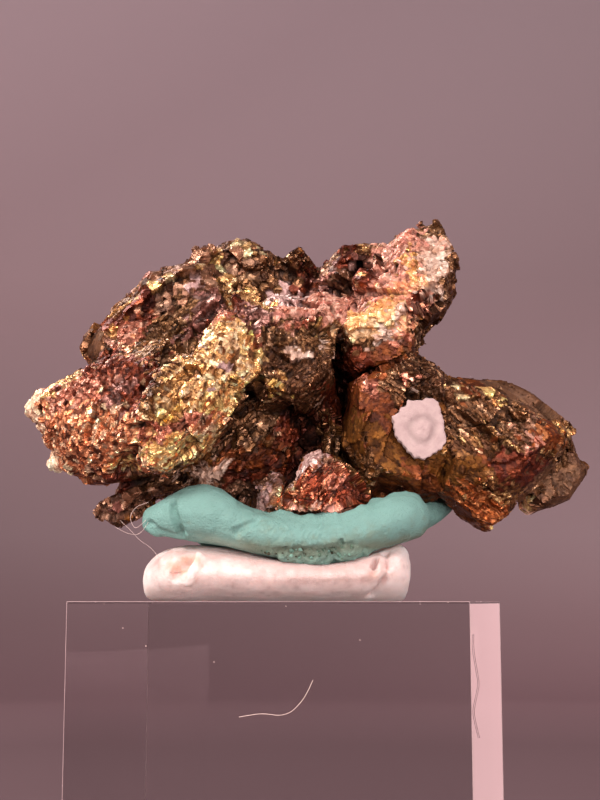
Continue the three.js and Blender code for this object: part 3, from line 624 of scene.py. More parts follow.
# Its crumbled lower edge, and the loose crumbs there: along which path, and how many.
CRUMBLED_EDGE = [(280, 554), (364, 552)]
CRUMBLED_REACH = 0.9
CRUMBLED_LUMPS = ((0.3, 0.5, 61), (0.26, 0.26, 66))
CRUMB_PATHS = [([(284, 557), (326, 562)], 90), ([(340, 555), (368, 554)], 60), ([(266, 552), (352, 549)], 90)]
CRUMB_STRAY = 0.22
CRUMB_SIZE = (0.06, 0.16)  # the least, and how much more it may be
CRUMB_UNEVEN = (0.6, 1.3)
CRUMB_COLOURS = [srgb(122, 160, 146), srgb(110, 146, 130), srgb(92, 116, 98), srgb(66, 66, 50)]
PRESSED_REACH = 1.4  # how near the ore the green roll is drawn onto it
PRESSED_IN = 0.2

WHITE_GAP = 0.3  # from the solid of the white roll down to the cube, which its visible surface reaches
PRESSED_UP_TO = 1.6  # the height up to which it is drawn down
LOWEST = 0.01  # its underside stays this far over the cube

# The white crust: a ring-shaped groove round a low boss, and a notch up and to the left.
CRUST_VOXEL = 0.1
CRUST_OFFSET = (0.2, 0, -0.1)  # from the middle of its solid to the middle of its ring
CRUST_RADIUS = 2.2
CRUST_RING = 1.06
RING_DEPTH = 0.13
RING_WIDTH = 0.3
# painted shade in the groove, on its faces towards the camera: how much it darkens and how wide it is
RING_SHADE_DARKENS = 0.22
RING_SHADE_WIDTH = 0.28
RING_WANDERS = (0.1, 1.1, 71)  # noise that bends the ring
RING_UNEVEN = (0.5, 1.2, 76)  # and noise on its depth, round the mean
RING_MEAN = 0.8
CRUST_LOBES = 3  # how many lobes the ring and the boss have
RING_LOBED = 0.07
RING_TURN = 0.8
BOSS_LOBED = 0.5
CRUST_BOSS = (0.08, 0.6)  # its height and its radius
CRUST_NOTCH = 2.5  # the angle of the notch
NOTCH_DEPTH = 0.17
NOTCH_WIDTH = 0.13
CRUST_TEETH = 23
TEETH_HEIGHT = 0.05
TEETH_BENT = (2, 0.9, 74)
RIM_RAGGED = (0.05, 0.5, 75)
RIM_SHARE = 0.4
RIM_FROM = 0.55  # the rim's inner side, as a share of the radius
CRUST_POWDER = ((0.035, 0.6, 72), (0.02, 0.28, 73))
CRUST_COLOUR = srgb(184, 158, 154)
CRUST_MOTTLE = ((0.32, (0.84, 0.8, 0.82)), (0.66, 1))

ACRYLIC_COLOUR = (0.8, 0.8, 0.8, 1)
ACRYLIC_IOR = 1.49
SMEARS = ((0.5, 0), (0.8, 0.05))  # its roughness

# Hairs and fibres: the node on which they start or lie, their path in the picture, how far they lie or bend
# away from it in the view frame, and their radius.
Fibre = namedtuple("Fibre", "node path bends radius material")
ON_THE_CUBE = (0, -0.06, 0)
FIBRES = {
    "curled_hair": Fibre(
        "acrylic_block",
        [(239, 717), (262, 713), (280, 716), (292, 712), (303, 700), (309, 689), (313, 680)],
        ON_THE_CUBE, 0.019, "pale_fibre",
    ),
    "brown_hair": Fibre(
        "acrylic_block",
        [(473, 634), (473, 650), (476, 667), (479, 684), (476, 698), (473, 712), (476, 726), (479, 738)],
        (0.05, -0.04, 0), 0.017, "brown_fibre",
    ),
    "looped_fibre": Fibre(
        "green_putty", [(146, 520)],
        [(0, 0, 0), (-0.9, -0.3, -0.9), (-1.4, -0.3, 0.2), (-0.9, -0.3, 1.1), (0.2, -0.2, 1.5)],
        0.013, "pale_fibre",
    ),
    "stray_fibre": Fibre(
        "green_putty", [(146, 520)],
        [(0.2, 0, -0.2), (-0.5, -0.3, -1.3), (-1.5, -0.3, -1.2), (-2.6, -0.2, -0.6)],
        0.01, "pale_fibre",
    ),
    "limp_fibre": Fibre(
        "white_putty", [(162, 562)],
        [(0, 0, 0), (-0.9, -0.2, 1.2), (-1.9, -0.2, 1.8), (-2.6, -0.2, 2.6), (-3.6, -0.1, 3.5)],
        0.01, "pale_fibre",
    ),
}
DUST_AT = [(123, 628), (146, 646), (214, 662), (286, 606), (420, 604), (96, 600), (448, 602), (360, 640)]
DUST_SIZE = 0.045
DUST_UNEVEN = (0.5, 1.4)
TUBE_STEPS = 8  # for each stretch of a fibre's path
TUBE_ROUNDS = 10  # rounds of smoothing
TUBE_ASKEW = (0.3, 1, 0.1)  # a direction that no tube follows
# The pale lines along the cube's edges are partly wear and partly a painted highlight.
EDGE_LINE_RADIUS = 0.022
CHIPS_PER_EDGE = 14
CHIP_SIZE = (0.03, 0.07)  # the least, and how much more it may be
CHIP_UNEVEN = 0.6

STAGE_RADIUS = 520
STAGE_COVE = 160
STAGE_HEIGHT = 900
STAGE_BELOW = 0.05  # how far the floor lies under the cube
STAGE_SIDES = 96
COVE_STEPS = 8
# The paper's colour by its height, as a share of SHADE_HEIGHT, lighter upwards as painted light, and painted
# shade by its distance from the middle, as a share of the stage's radius, darkest near the middle against the
# lamps' falloff.
SHADE_HEIGHT = 400
PAPER_COLOURS_AND_LIGHT = (
    (0, srgb(152, 123, 128)), (0.06, srgb(159, 132, 136)), (0.15, srgb(176, 152, 156)),
    (0.4, srgb(193, 167, 171)), (0.8, srgb(225, 203, 209)),
)
PAINTED_FLOOR_SHADE = ((0.24, 0.51), (0.4, 0.59), (0.64, 1))
# Painted light and shade on the wall: it is lighter up on the left and down on the right. Across and up, that
# change has a length, a shift and a limit.
SLANT_ACROSS = (137, 0.8, 1)
SLANT_UP = (100, -1.1, 0.7)
SLANT_SHADE_DARKEST = 0.62

Light = namedtuple("Light", "azimuth elevation distance size power colour unseen_in")
LIGHTS = {
    "key": Light(-42, 40, 320, (120, 90), 1.15, (1, 0.94, 0.9), ()),
    "front": Light(10, 2, 420, (240, 240), 2.0, (1, 0.92, 0.91), ("transmission",)),
    "side": Light(62, 24, 420, (120, 200), 0.35, (1, 0.93, 0.94), ()),
    "rim": Light(-120, 50, 360, (120, 120), 1.1, (1, 0.95, 0.93), ()),
    "low": Light(-68, -14, 130, (50, 24), 0.06, (1, 0.93, 0.88), ("transmission",)),
    "low right": Light(40, -14, 130, (50, 24), 0.03, (1, 0.93, 0.9), ("transmission",)),
    "card": Light(163.4, -20, 95, (44, 34), 0.0044, (1, 0.6, 0.6), ("diffuse", "transmission")),
}
LIT_POINT = (0, 0, 18)  # where all lights are aimed
ROOM_COLOUR = srgb(170, 150, 155)
ROOM_STRENGTH = 0.35

# The numbers of the two values and of the result among the sockets of a mix.
MIX_SOCKETS = {"RGBA": (6, 7, 2), "FLOAT": (2, 3, 0)}

# Large odd numbers that scatter whole numbers into noise.
SCATTER = np.array([73856093, 19349663, 83492791])
SCATTER_SEED = 7919
SCATTER_STEPS = ((13, 1274126177), (16, 2246822519))


def hash_noise(key):
    """A number from -1 to 1 for each whole number."""
    for shift, factor in SCATTER_STEPS:
        key = (key ^ (key >> shift)) * factor & 0xFFFFFFFF
    return ((key >> 8) % 65536) / 32768 - 1


def smooth_noise(points, size, seed):
    """Noise from -1 to 1 in lumps of about this size."""
    cell = np.floor(points / size).astype(np.int64)
    inside = points / size - cell
    ease = eased(inside)
    total = np.zeros(len(points))
    for corner in itertools.product((0, 1), repeat=3):
        weight = np.prod(np.where(np.array(corner) == 1, ease, 1 - ease), axis=1)
        total += weight * hash_noise((cell + corner) @ SCATTER + seed * SCATTER_SEED)
    return total


def eased(share, height=1):
    """From 0 to this height as a share goes from 0 to 1, starting and ending gently."""
    return height * share * share * (3 - 2 * share)


def layered_noise(points, layers, base=0):
    """Layers of noise on a base, each with its height, the size of its lumps and its seed."""
    return sum((height * smooth_noise(points, size, seed) for height, size, seed in layers), base)


def smooth_noise3(points, size, seed):
    return np.stack([smooth_noise(points, size, seed + k) for k in (0, 101, 202)], axis=1)


def unit(vectors):
    return vectors / np.maximum(np.linalg.norm(vectors, axis=-1, keepdims=True), 1e-9)


def raised(points, normals, height):
    """Points moved along their normals."""
    return points + normals * height[:, None]


def in_frame(points, to_frame):
    turn = np.array(to_frame)
    return points @ turn[:3, :3].T + turn[:3, 3]


def cad_tree(node):
    """A search tree of a node's solid, in the view frame."""
    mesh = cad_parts[node].data
    points = in_frame(np.array([v.co for v in mesh.vertices]), VIEW_TO_ROW.inverted())
    return BVHTree.FromPolygons([Vector(p) for p in points], [tuple(f.vertices) for f in mesh.polygons])


def new_object(name, data):
    """A new object in the scene."""
    thing = bpy.data.objects.new(name, data)
    bpy.context.scene.collection.objects.link(thing)
    return thing


def evened_mesh(node, voxel, smoothing=0, between=None):
    """A node's solid with an even fine mesh, as (points, triangles, normals) in the view frame.

    between is the stretch of x that is kept. Where it cuts the solid, a few large faces close the cut.
    """
    bm = bmesh.new()
    bm.from_mesh(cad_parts[node].data)
    bm.transform(VIEW_TO_ROW.inverted())
    bmesh.ops.remove_doubles(bm, verts=bm.verts, dist=WELD)
    for x, side in zip(between or (), (-1, 1)):
        everything = bm.verts[:] + bm.edges[:] + bm.faces[:]
        cut = bmesh.ops.bisect_plane(
            bm, geom=everything, plane_co=(x, 0, 0), plane_no=(side, 0, 0), clear_outer=True
        )
        bmesh.ops.holes_fill(bm, edges=[e for e in cut["geom_cut"] if isinstance(e, bmesh.types.BMEdge)])
    mesh = bpy.data.meshes.new(node + "_even")
    bm.to_mesh(mesh)
    bm.free()
    helper = new_object(node + "_even", mesh)
    remesh = helper.modifiers.new("even", "REMESH")
    remesh.mode = "VOXEL"
    remesh.voxel_size = voxel
    if smoothing:
        smooth = helper.modifiers.new("soft", "SMOOTH")
        smooth.factor = 0.5
        smooth.iterations = smoothing
    fine = bpy.data.meshes.new_from_object(helper.evaluated_get(bpy.context.evaluated_depsgraph_get()))
    bpy.data.objects.remove(helper)
    if between:
        simplify_cuts(fine, between)
    points = np.zeros(len(fine.vertices) * 3)
    fine.vertices.foreach_get("co", points)
    fine.calc_loop_triangles()
    triangles = np.zeros(len(fine.loop_triangles) * 3, np.int32)
    fine.loop_triangles.foreach_get("vertices", triangles)
    bpy.data.meshes.remove(fine)
    points, triangles = points.reshape(-1, 3), triangles.reshape(-1, 3)
    return points, triangles, vertex_normals(points, triangles)


def simplify_cuts(mesh, between):
    """Joins the many small faces of each flat cut."""
    bm = bmesh.new()
    bm.from_mesh(mesh)
    flat = [
        face
        for face in bm.faces
        if any(all(abs(vert.co.x - x) < ON_THE_CUT for vert in face.verts) for x in between)
    ]
    verts = list(dict.fromkeys(vert for face in flat for vert in face.verts))
    edges = list(dict.fromkeys(edge for face in flat for edge in face.edges))
    bmesh.ops.dissolve_limit(bm, angle_limit=CUT_FLATNESS, verts=verts, edges=edges)
    bmesh.ops.triangulate(bm, faces=bm.faces)
    bm.to_mesh(mesh)
    bm.free()


def face_normals(points, triangles):
    """The normal of each triangle, as long as twice its area."""
    corners = points[triangles]
    return np.cross(corners[:, 1] - corners[:, 0], corners[:, 2] - corners[:, 0])


def vertex_normals(points, triangles):
    across = face_normals(points, triangles)
    normals = np.zeros_like(points)
    for corner in range(3):
        np.add.at(normals, triangles[:, corner], across)
    return unit(normals)


def nearest(points, seeds):
    """The number of the seed that is nearest to each point."""
    tree = KDTree(len(seeds))
    for index, seed in enumerate(seeds):
        tree.insert(seed, index)
    tree.balance()
    return np.array([tree.find(point)[1] for point in points], np.int64)


def make_piece(name, points, triangles, material, slot=None, replaces=(), values=None, smooth=False):
    """A mesh piece on the root body.

    values holds attributes with one number or one colour for each point, and smooth is one truth for the
    whole piece or one for each face.
    """
    mesh = bpy.data.meshes.new(name)
    mesh.from_pydata(in_frame(points, VIEW_TO_ROW), [], triangles)
    for key, data in (values or {}).items():
        is_colour = data.ndim == 2
        attribute = mesh.attributes.new(key, "FLOAT_COLOR" if is_colour else "FLOAT", "POINT")
        if is_colour:
            data = np.concatenate([data, np.ones((len(data), 1))], axis=1)
        attribute.data.foreach_set("color" if is_colour else "value", data.astype(np.float32).ravel())
    mesh.polygons.foreach_set("use_smooth", np.broadcast_to(smooth, len(mesh.polygons)).tolist())
    mesh.materials.append(material)
    mesh.update()
    piece = new_object(name, mesh)
    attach(piece, "root")
    if slot:
        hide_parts(*replaces)
    return piece


class Look:
    """A material in the making: its shader, and a short call for each kind of node."""

    def __init__(self, name):
        self.material = bpy.data.materials.new(name)
        self.material.use_nodes = True
        self.tree = self.material.node_tree
        self.shader = self.tree.nodes["Principled BSDF"]

    def feed(self, node, values):
        """Links or sets a node's sockets, by their names or numbers."""
        for key, value in values.items():
            if isinstance(value, bpy.types.NodeSocket):
                self.tree.links.new(value, node.inputs[key])
            else:
                node.inputs[key].default_value = value

    def finished(self, values):
        """The material, once its shader has these values."""
        self.feed(self.shader, values)
        return self.material

    def add(self, kind, values, **settings):
        """The outputs of a new node."""
        node = self.tree.nodes.new("ShaderNode" + kind)
        for name, setting in settings.items():
            setattr(node, name, setting)
        self.feed(node, values)
        return node.outputs

    def number(self, operation, first, second):
        return self.add("Math", {0: first, 1: second}, operation=operation)[0]

    def clamped(self, value, most):
        """A value kept between most below zero and most above it."""
        return self.number("MINIMUM", self.number("MAXIMUM", value, -most), most)

    def vector(self, operation, *values):
        outputs = self.add("VectorMath", dict(enumerate(values)), operation=operation)
        return outputs["Value" if operation == "LENGTH" else "Vector"]

    def scaled(self, vector, scale):
        return self.add("VectorMath", {0: vector, "Scale": scale}, operation="SCALE")[0]

    def place(self):
        """Object coordinates in millimetres."""
        return self.scaled(self.add("TexCoord", {})["Object"], 1 / MM)

    def attribute(self, name, output="Fac"):
        return self.add("Attribute", {}, attribute_name=name)[output]

    def noise(self, place, per_mm, detail=4, roughness=0.6):
        values = {"Vector": place, "Scale": per_mm, "Detail": detail, "Roughness": roughness}
        return self.add("TexNoise", values)["Fac"]

    def bump(self, height, depth, strength=1):
        """A normal for a relief that is this many millimetres deep."""
        return self.add("Bump", {"Height": height, "Distance": depth * MM, "Strength": strength})["Normal"]

    def mix(self, kind, factor, first, second, blend="MIX"):
        one, other, result = MIX_SOCKETS[kind]
        values = {0: factor, one: first, other: second}
        return self.add("Mix", values, data_type=kind, blend_type=blend)[result]

    def multiplied(self, factor, first, second):
        """A colour multiplied by another, as far as the factor says."""
        return self.mix("RGBA", factor, first, second, "MULTIPLY")

    def ramp(self, value, stops):
        """Colours for a value, by stops of (value, colour). A colour that is a plain number is a grey."""
        node = self.tree.nodes.new("ShaderNodeValToRGB")
        elements = node.color_ramp.elements
        while len(elements) < len(stops):
            elements.new(0.5)
        for element, (position, colour) in zip(elements, stops):
            element.position = position
            element.color = (*(colour if isinstance(colour, tuple) else (colour,) * 3), 1)
        self.feed(node, {"Fac": value})
        return node.outputs["Color"]


def crystal_cells(look, place, rake):
    """The random colour of small crystals, longer along the rake, and the distance from each one's middle."""
    turned_place = look.add("Mapping", {"Vector": place, "Rotation": (0, rake, -VIEW_TURN)})[0]
    squashed = look.vector("MULTIPLY", turned_place, (CRYSTAL_STRETCH, 1, 1))
    cells = look.add("TexVoronoi", {"Vector": squashed, "Scale": CRYSTALS_PER_MM})
    return cells["Color"], cells["Distance"]


def ore_material():
    """Tarnished metal: colour, metal and roughness from the mesh, with fine crystals and pits."""
    look = Look("tarnished_ore")
    place = look.place()
    left, left_middle = crystal_cells(look, place, RAKE_LEFT)
    right, right_middle = crystal_cells(look, place, RAKE_RIGHT)
    on_the_right = look.number("GREATER_THAN", look.add("SeparateXYZ", {0: place})["X"], RAKE_CHANGES_AT)
    cells = look.mix("RGBA", on_the_right, left, right)
    middles = look.mix("FLOAT", on_the_right, left_middle, right_middle)
    one_value = look.add("SeparateColor", {0: cells})[0]
    glitter = look.attribute("glitter")
    metal = look.attribute("metal")

    mottle = look.ramp(look.noise(place, per_mm=2.2), ORE_MOTTLE)
    specks = look.ramp(look.noise(place, per_mm=4.5, detail=3), ORE_SPECKS)
    shade = look.multiplied(1, look.attribute("tint", "Color"), mottle)
    shade = look.multiplied(metal, shade, specks)
    shade = look.multiplied(glitter, shade, look.ramp(one_value, CRYSTAL_SHADES))
    # painted shade in the gaps between the crystals
    shade = look.multiplied(glitter, shade, look.ramp(middles, CRYSTAL_GAP_SHADE))

    tilt = look.vector("SUBTRACT", cells, (0.5, 0.5, 0.5))
    tilt = look.scaled(tilt, look.number("MULTIPLY", glitter, CRYSTAL_TILT))
    pits = look.bump(look.noise(place, per_mm=5.5, detail=3, roughness=0.7), PIT_DEPTH, PIT_STRENGTH)
    normal = look.vector("NORMALIZE", look.vector("ADD", pits, tilt))
    return look.finished(
        {"Base Color": shade, "Metallic": metal, "Roughness": look.attribute("rough"), "Normal": normal}
    )


def seen_at(tree, across, down):
    """The place on a solid that the camera sees at this point of the picture."""
    focus = CAMERA_LENS / CAMERA_SENSOR * PICTURE[1]
    right = (across - PICTURE[0] / 2) / focus
    up = (PICTURE[1] / 2 - down) / focus
    tip, tilt = math.cos(CAMERA_TIP), math.sin(CAMERA_TIP)
    ray = Vector((right, tip - up * tilt, tilt + up * tip))
    start = Vector(CAMERA_AT)
    hit = tree.ray_cast(start, ray)[0]
    return np.array(hit or tree.find_nearest(start - ray * start.y)[0])


def seen_path(tree, path):
    return np.array([seen_at(tree, *place) for place in path])


def away_from(points, path):
    """The distance of each point from a line through the places of a path."""
    ends = list(zip(path, path[1:])) or [(path[0], path[0])]
    best = np.full(len(points), np.inf)
    for start, end in ends:
        line = end - start
        along = np.clip((points - start) @ line / max(line @ line, 1e-9), 0, 1)
        best = np.minimum(best, np.linalg.norm(points - start - along[:, None] * line, axis=1))
    return best


def hill(value, width=1):
    """1 where the value is 0, falling softly to 0 on both sides."""
    return np.exp(-((value / width) ** 2))


def place_zones(ore_tree):
    """All zones, with paths of places in the view frame."""
    zones = [Zone(seen_path(ore_tree, path), *rest) for path, *rest in SEEN_ZONES.values()]
    return zones + [Zone(np.array([middle]), *rest) for middle, *rest in FAR_ZONES.values()]


ORE_TREE = cad_tree("pyrite")
ZONES = place_zones(ORE_TREE)
PALETTE_OF_ZONE = [zone.palette for zone in ZONES] + ["bronze"]
TEXTURE_OF_ZONE = [zone.texture for zone in ZONES] + ["grains"]


def zone_pulls(points):
    """How strongly each zone pulls at each point, as a row for each point. Plain bronze comes last."""
    warped = points
    for height, size, seed in ZONE_WARPS:
        warped = warped + height * smooth_noise3(points, size, seed)
    pulls = np.full((len(points), len(ZONES) + 1), STRAY_PULL)
    for column, zone in enumerate(ZONES):
        away = away_from(warped * DEPTH_SHARE, zone.path * DEPTH_SHARE)
        pulls[:, column] = np.exp(-ZONE_FADE * (away / zone.reach) ** ZONE_FADE_POWER)
    return pulls ** PULL_SHARPNESS


def relieved(points, normals, reliefs, tree):
    """Points moved along their normals by ledges and grooves that lie on the solid of the tree."""
    rise = np.zeros(len(points))
    ragged = layered_noise(points, [RELIEF_RAGGED], 1)
    for seen, width, height in reliefs.values():
        path = seen_path(tree, seen)
        reach = width * RELIEF_REACH
        inside = (points > path.min(axis=0) - reach) & (points < path.max(axis=0) + reach)
        near = np.flatnonzero(inside.all(axis=1))
        away = away_from(points[near], path) * ragged[near] / width
        rise[near] += eased(np.clip(RELIEF_EDGE - away, 0, 1), height)
    return raised(points, normals, rise)


def picked(shares):
    """A column for each row, drawn by the row's shares."""
    edges = np.cumsum(shares, axis=1)
    draw = rng.random(len(shares)) * edges[:, -1]
    return (draw[:, None] > edges).sum(axis=1)


def zones_at(points):
    """A zone for each point, drawn by how strongly the zones pull there."""
    parts = np.array_split(points, 1 + len(points) // AT_ONCE)
    return np.concatenate([picked(zone_pulls(part)) for part in parts])


def tones_of(zones):
    """The colour, metal, roughness and glitter for each zone in a row of zones."""
    colour = np.zeros((len(zones), 3))
    metal = np.zeros(len(zones))
    rough = np.zeros(len(zones))
    draw = rng.random(len(zones))
    for name, rows in PALETTES.items():
        tones = [Tone(*row) for row in rows]
        mine = np.isin(zones, [i for i, palette in enumerate(PALETTE_OF_ZONE) if palette == name])
        edges = np.cumsum([tone.share for tone in tones])
        tone_number = np.minimum((draw[:, None] * edges[-1] > edges).sum(axis=1), len(tones) - 1)
        for number, tone in enumerate(tones):
            these = mine & (tone_number == number)
            colour[these] = srgb(*tone.colour)
            metal[these] = tone.metal
            rough[these] = tone.rough
    brightness = np.exp(TONE_SPREAD * rng.standard_normal(len(zones)))
    tint = np.clip(colour * brightness[:, None], 0, BRIGHTEST)
    glitter = np.array([TEXTURES[name].glitter for name in TEXTURE_OF_ZONE])[zones]
    return {"tint": tint, "metal": metal, "rough": rough, "glitter": glitter}


def random_axes(count):
    """count sets of three axes square to each other."""
    first = unit(rng.standard_normal((count, 3)))
    second = unit(np.cross(first, unit(rng.standard_normal((count, 3)))))
    return np.stack([first, second, np.cross(first, second)], axis=1)


def facet_normals(normals, axes, tilt):
    """Facets that follow the crystal axis nearest to the surface, tilted that far towards it."""
    both_ways = np.concatenate([axes, -axes], axis=1)
    facing = np.einsum("nkc,nc->nk", both_ways, normals) + AXIS_STRAY * rng.random((len(normals), 6))
    chosen = both_ways[np.arange(len(normals)), facing.argmax(axis=1)]
    return unit(normals * (1 - tilt[:, None]) + chosen * tilt[:, None])


# grain holds each facet's rake and how much longer it is along it.
Facets = namedtuple("Facets", "seeds planes limit grain")
Crystals = namedtuple("Crystals", "middles axes")
Skin = namedtuple("Skin", "points normals")
Plan = namedtuple("Plan", "skin crystals large small tones")


def on_facets(points, normals, facets):
    """Points moved along their normals onto the flat facet of their nearest seed, and that seed's number."""
    cell = nearest(points, facets.seeds)
    for rake, stretch in np.unique(facets.grain, axis=0):
        if stretch > 1:
            mine = (facets.grain == (rake, stretch)).all(axis=1)
            seeds, raked = np.flatnonzero(mine), np.flatnonzero(mine[cell])
            along = np.array([math.cos(rake), 0, math.sin(rake)])
            squash = np.eye(3) - (1 - 1 / stretch) * np.outer(along, along)
            cell[raked] = seeds[nearest(points[raked] @ squash, facets.seeds[seeds] @ squash)]
    plane = facets.planes[cell]
    along = (plane * normals).sum(axis=1)
    away = (plane * (facets.seeds[cell] - points)).sum(axis=1)
    limit = facets.limit[cell]
    shift = away / np.where(np.abs(along) < STEEPEST, STEEPEST, along)
    return raised(points, normals, np.clip(shift, -limit, OUTWARD * limit)), cell


def new_facets(points, normals, tilts, limit, crystals, grain):
    """Facets through the points, set a little in or out."""
    seeds = raised(points, normals, (rng.random(len(points)) - SEED_DEPTH) * limit)
    planes = facet_normals(normals, crystals.axes[nearest(seeds, crystals.middles)], tilts)
    return Facets(seeds, planes, limit, grain)


def rakes_at(points):
    return np.where(points[:, 0] > RAKE_CHANGES_AT, RAKE_RIGHT, RAKE_LEFT)


def plan_ore():
    """The crystal directions, the facets of the whole ore, large and small, and the small ones' tones.

    Also gives the coarse surface that they were planned on, with a zone for each point.
    """
    points, triangles, normals = evened_mesh("pyrite", COARSE_VOXEL)
    skin = Skin(points, normals)
    share = np.linalg.norm(face_normals(points, triangles), axis=1).sum() / 2 / len(points)
    chosen = rng.choice(len(points), DOMAIN_COUNT, replace=False)
    crystals = Crystals(points[chosen], random_axes(DOMAIN_COUNT))
    zones = zones_at(points)
    kinds = np.array([TEXTURES[name][:4] for name in TEXTURE_OF_ZONE])[zones]
    chosen = np.flatnonzero(rng.random(len(points)) < share / LARGE_FACET**2)
    round_grain = np.tile((0, 1), (len(chosen), 1))
    limits = np.full(len(chosen), LARGE_LIMIT)
    tilts = LARGE_TILT * kinds[chosen, 1]
    large = new_facets(points[chosen], normals[chosen], tilts, limits, crystals, round_grain)
    points = relieved(on_facets(points, normals, large)[0], normals, ORE_RELIEF, ORE_TREE)

    chosen = np.flatnonzero(rng.random(len(points)) < share / kinds[:, 0] ** 2)
    tones = tones_of(zones[chosen])
    grain = np.stack([rakes_at(points[chosen]), kinds[chosen, 2]], axis=1)
    small = new_facets(points[chosen], normals[chosen], kinds[chosen, 1], kinds[chosen, 3], crystals, grain)
    return Plan(skin, crystals, large, small, tones), points, normals, zones


def hollowness(points, triangles, normals, rounds):
    """How far each point lies below the mean of its surroundings."""
    edges = np.concatenate([triangles[:, (0, 1)], triangles[:, (1, 2)], triangles[:, (2, 0)]])
    edges = np.concatenate([edges, edges[:, ::-1]])
    count = np.bincount(edges[:, 0], minlength=len(points))
    mean = points
    for _ in range(rounds):
        sums = [np.bincount(edges[:, 0], mean[edges[:, 1], axis], minlength=len(points)) for axis in range(3)]
        mean = np.stack(sums, axis=1) / count[:, None]
    return ((mean - points) * normals).sum(axis=1)


def hollow_shade_and_edge_wear(points, triangles, values):
    """Tones darkened in hollows by painted shade, and lightened on edges by wear and painted highlight."""
    normals = vertex_normals(points, triangles)
    fine = hollowness(points, triangles, normals, FINE_ROUNDS) / FINE_HOLLOW
    broad = hollowness(points, triangles, normals, BROAD_ROUNDS) / BROAD_HOLLOW
    shade_and_dirt = np.clip(FINE_SHARE * fine + (1 - FINE_SHARE) * broad, -1, 1)
    # painted shade in hollows; the lightening on edges is partly wear and partly painted highlight
    light = 1 - np.where(shade_and_dirt > 0, HOLLOW_SHADE_DARKENS, EDGE_WEAR_AND_HIGHLIGHT) * shade_and_dirt
    values["tint"] = np.clip(values["tint"] * light[:, None], 0, BRIGHTEST)
    values["rough"] = np.clip(values["rough"] + DIRT_ROUGHENS * shade_and_dirt, GLOSSIEST, 1)
    return values


BOX_CORNERS = np.array(list(itertools.product((-0.5, 0.5), repeat=3)))
BOX_TRIANGLES = np.array(
    [
        (0, 1, 3), (0, 3, 2), (4, 6, 7), (4, 7, 5), (0, 4, 5), (0, 5, 1),
        (2, 3, 7), (2, 7, 6), (0, 2, 6), (0, 6, 4), (1, 5, 7), (1, 7, 3),
    ]
)


def raked_axes(points, normals):
    """Axes that lie along the surface in the direction of its grain."""
    rake = rakes_at(points) + layered_noise(points, [RAKE_STRAY])
    along = np.stack([np.cos(rake), np.zeros(len(points)), np.sin(rake)], axis=1)
    along = unit(along - normals * (along * normals).sum(axis=1, keepdims=True))
    return np.stack([along, np.cross(normals, along), normals], axis=1)


def turned(axes, stray):
    """Axes turned a little at random."""
    loose = axes + stray[:, None, None] * (rng.random((len(axes), 3, 3)) - 0.5)
    first = unit(loose[:, 0])
    second = unit(loose[:, 1] - first * (first * loose[:, 1]).sum(axis=1, keepdims=True))
    return np.stack([first, second, np.cross(first, second)], axis=1)


def loose_grains(points, normals, zones, crystals, share):
    """Crystal grains that stand on a surface, as (points, triangles, values)."""
    kinds = [TEXTURES[name] for name in TEXTURE_OF_ZONE]
    chance = np.array([kind.grains for kind in kinds])[zones] * share
    chosen = np.flatnonzero(rng.random(len(points)) < chance)
    at, facing, zones = points[chosen], normals[chosen], zones[chosen]
    values = {key: np.repeat(value, 8, axis=0) for key, value in tones_of(zones).items()}
    small, large = np.array([kind.size for kind in kinds])[zones].T
    size = small + (large - small) * rng.random(len(at)) ** GRAIN_SKEW
    uneven = 1 - GRAIN_UNEVEN / 2 + GRAIN_UNEVEN * rng.random((len(at), 3))
    shape = np.array([kind.shape for kind in kinds])[zones] * uneven
    blocky = np.array([name == "blocks" for name in TEXTURE_OF_ZONE])[zones]
    shared_axes = crystals.axes[nearest(at, crystals.middles)]
    own_axes = np.where(blocky[:, None, None], shared_axes, raked_axes(at, facing))
    own_axes = turned(own_axes, np.array([kind.stray for kind in kinds])[zones])
    corners = BOX_CORNERS[None] * (1 + CORNER_UNEVEN * (rng.random((len(at), 8, 3)) - 0.5))
    corners = corners * (size[:, None] * shape)[:, None, :]
    placed = at[:, None, :] + np.einsum("nkc,ncd->nkd", corners, own_axes)
    all_triangles = (BOX_TRIANGLES[None] + 8 * np.arange(len(at))[:, None, None]).reshape(-1, 3)
    return placed.reshape(-1, 3), all_triangles, values


def over_the_cuts(points, normals, between, skin):
    """Normals that near each cut are those of the whole solid, so that the parts match there."""
    at_cut = np.flatnonzero(np.abs(points[:, :1] - between).min(axis=1) < SEAM)
    normals[at_cut] = skin.normals[nearest(points[at_cut], skin.points)]
    return normals


def make_ore():
    """The ore's surface in parts side by side, and the loose grains on it."""
    material = ore_material()
    plan, coarse, facing, zones = plan_ore()
    ends = [-FAR, *ORE_CUTS, FAR]
    for name, low, high in zip(ORE_PARTS, ends, ends[1:]):
        between = (low - ORE_OVERLAP, high + ORE_OVERLAP)
        points, triangles, normals = evened_mesh("pyrite", ORE_VOXEL, between=between)
        normals = over_the_cuts(points, normals, between, plan.skin)
        points = relieved(on_facets(points, normals, plan.large)[0], normals, ORE_RELIEF, ORE_TREE)
        points, cell = on_facets(points, normals, plan.small)
        values = hollow_shade_and_edge_wear(points, triangles, {key: value[cell] for key, value in plan.tones.items()})
        smooth = (values["glitter"] < SMOOTH_BELOW)[triangles].all(axis=1)
        make_piece(name, points, triangles, material, "ore", ["pyrite"], values, smooth)
    coarse, _ = on_facets(coarse, facing, plan.small)
    points, triangles, values = loose_grains(coarse, facing, zones, plan.crystals, COARSE_VOXEL**2)
    make_piece("loose_grains", points, triangles, material, "ore", values=values)


def plain_material(name, colour, roughness, shine=0.5):
    values = {"Base Color": (*colour, 1), "Roughness": roughness, "Specular IOR Level": shine}
    return Look(name).finished(values)


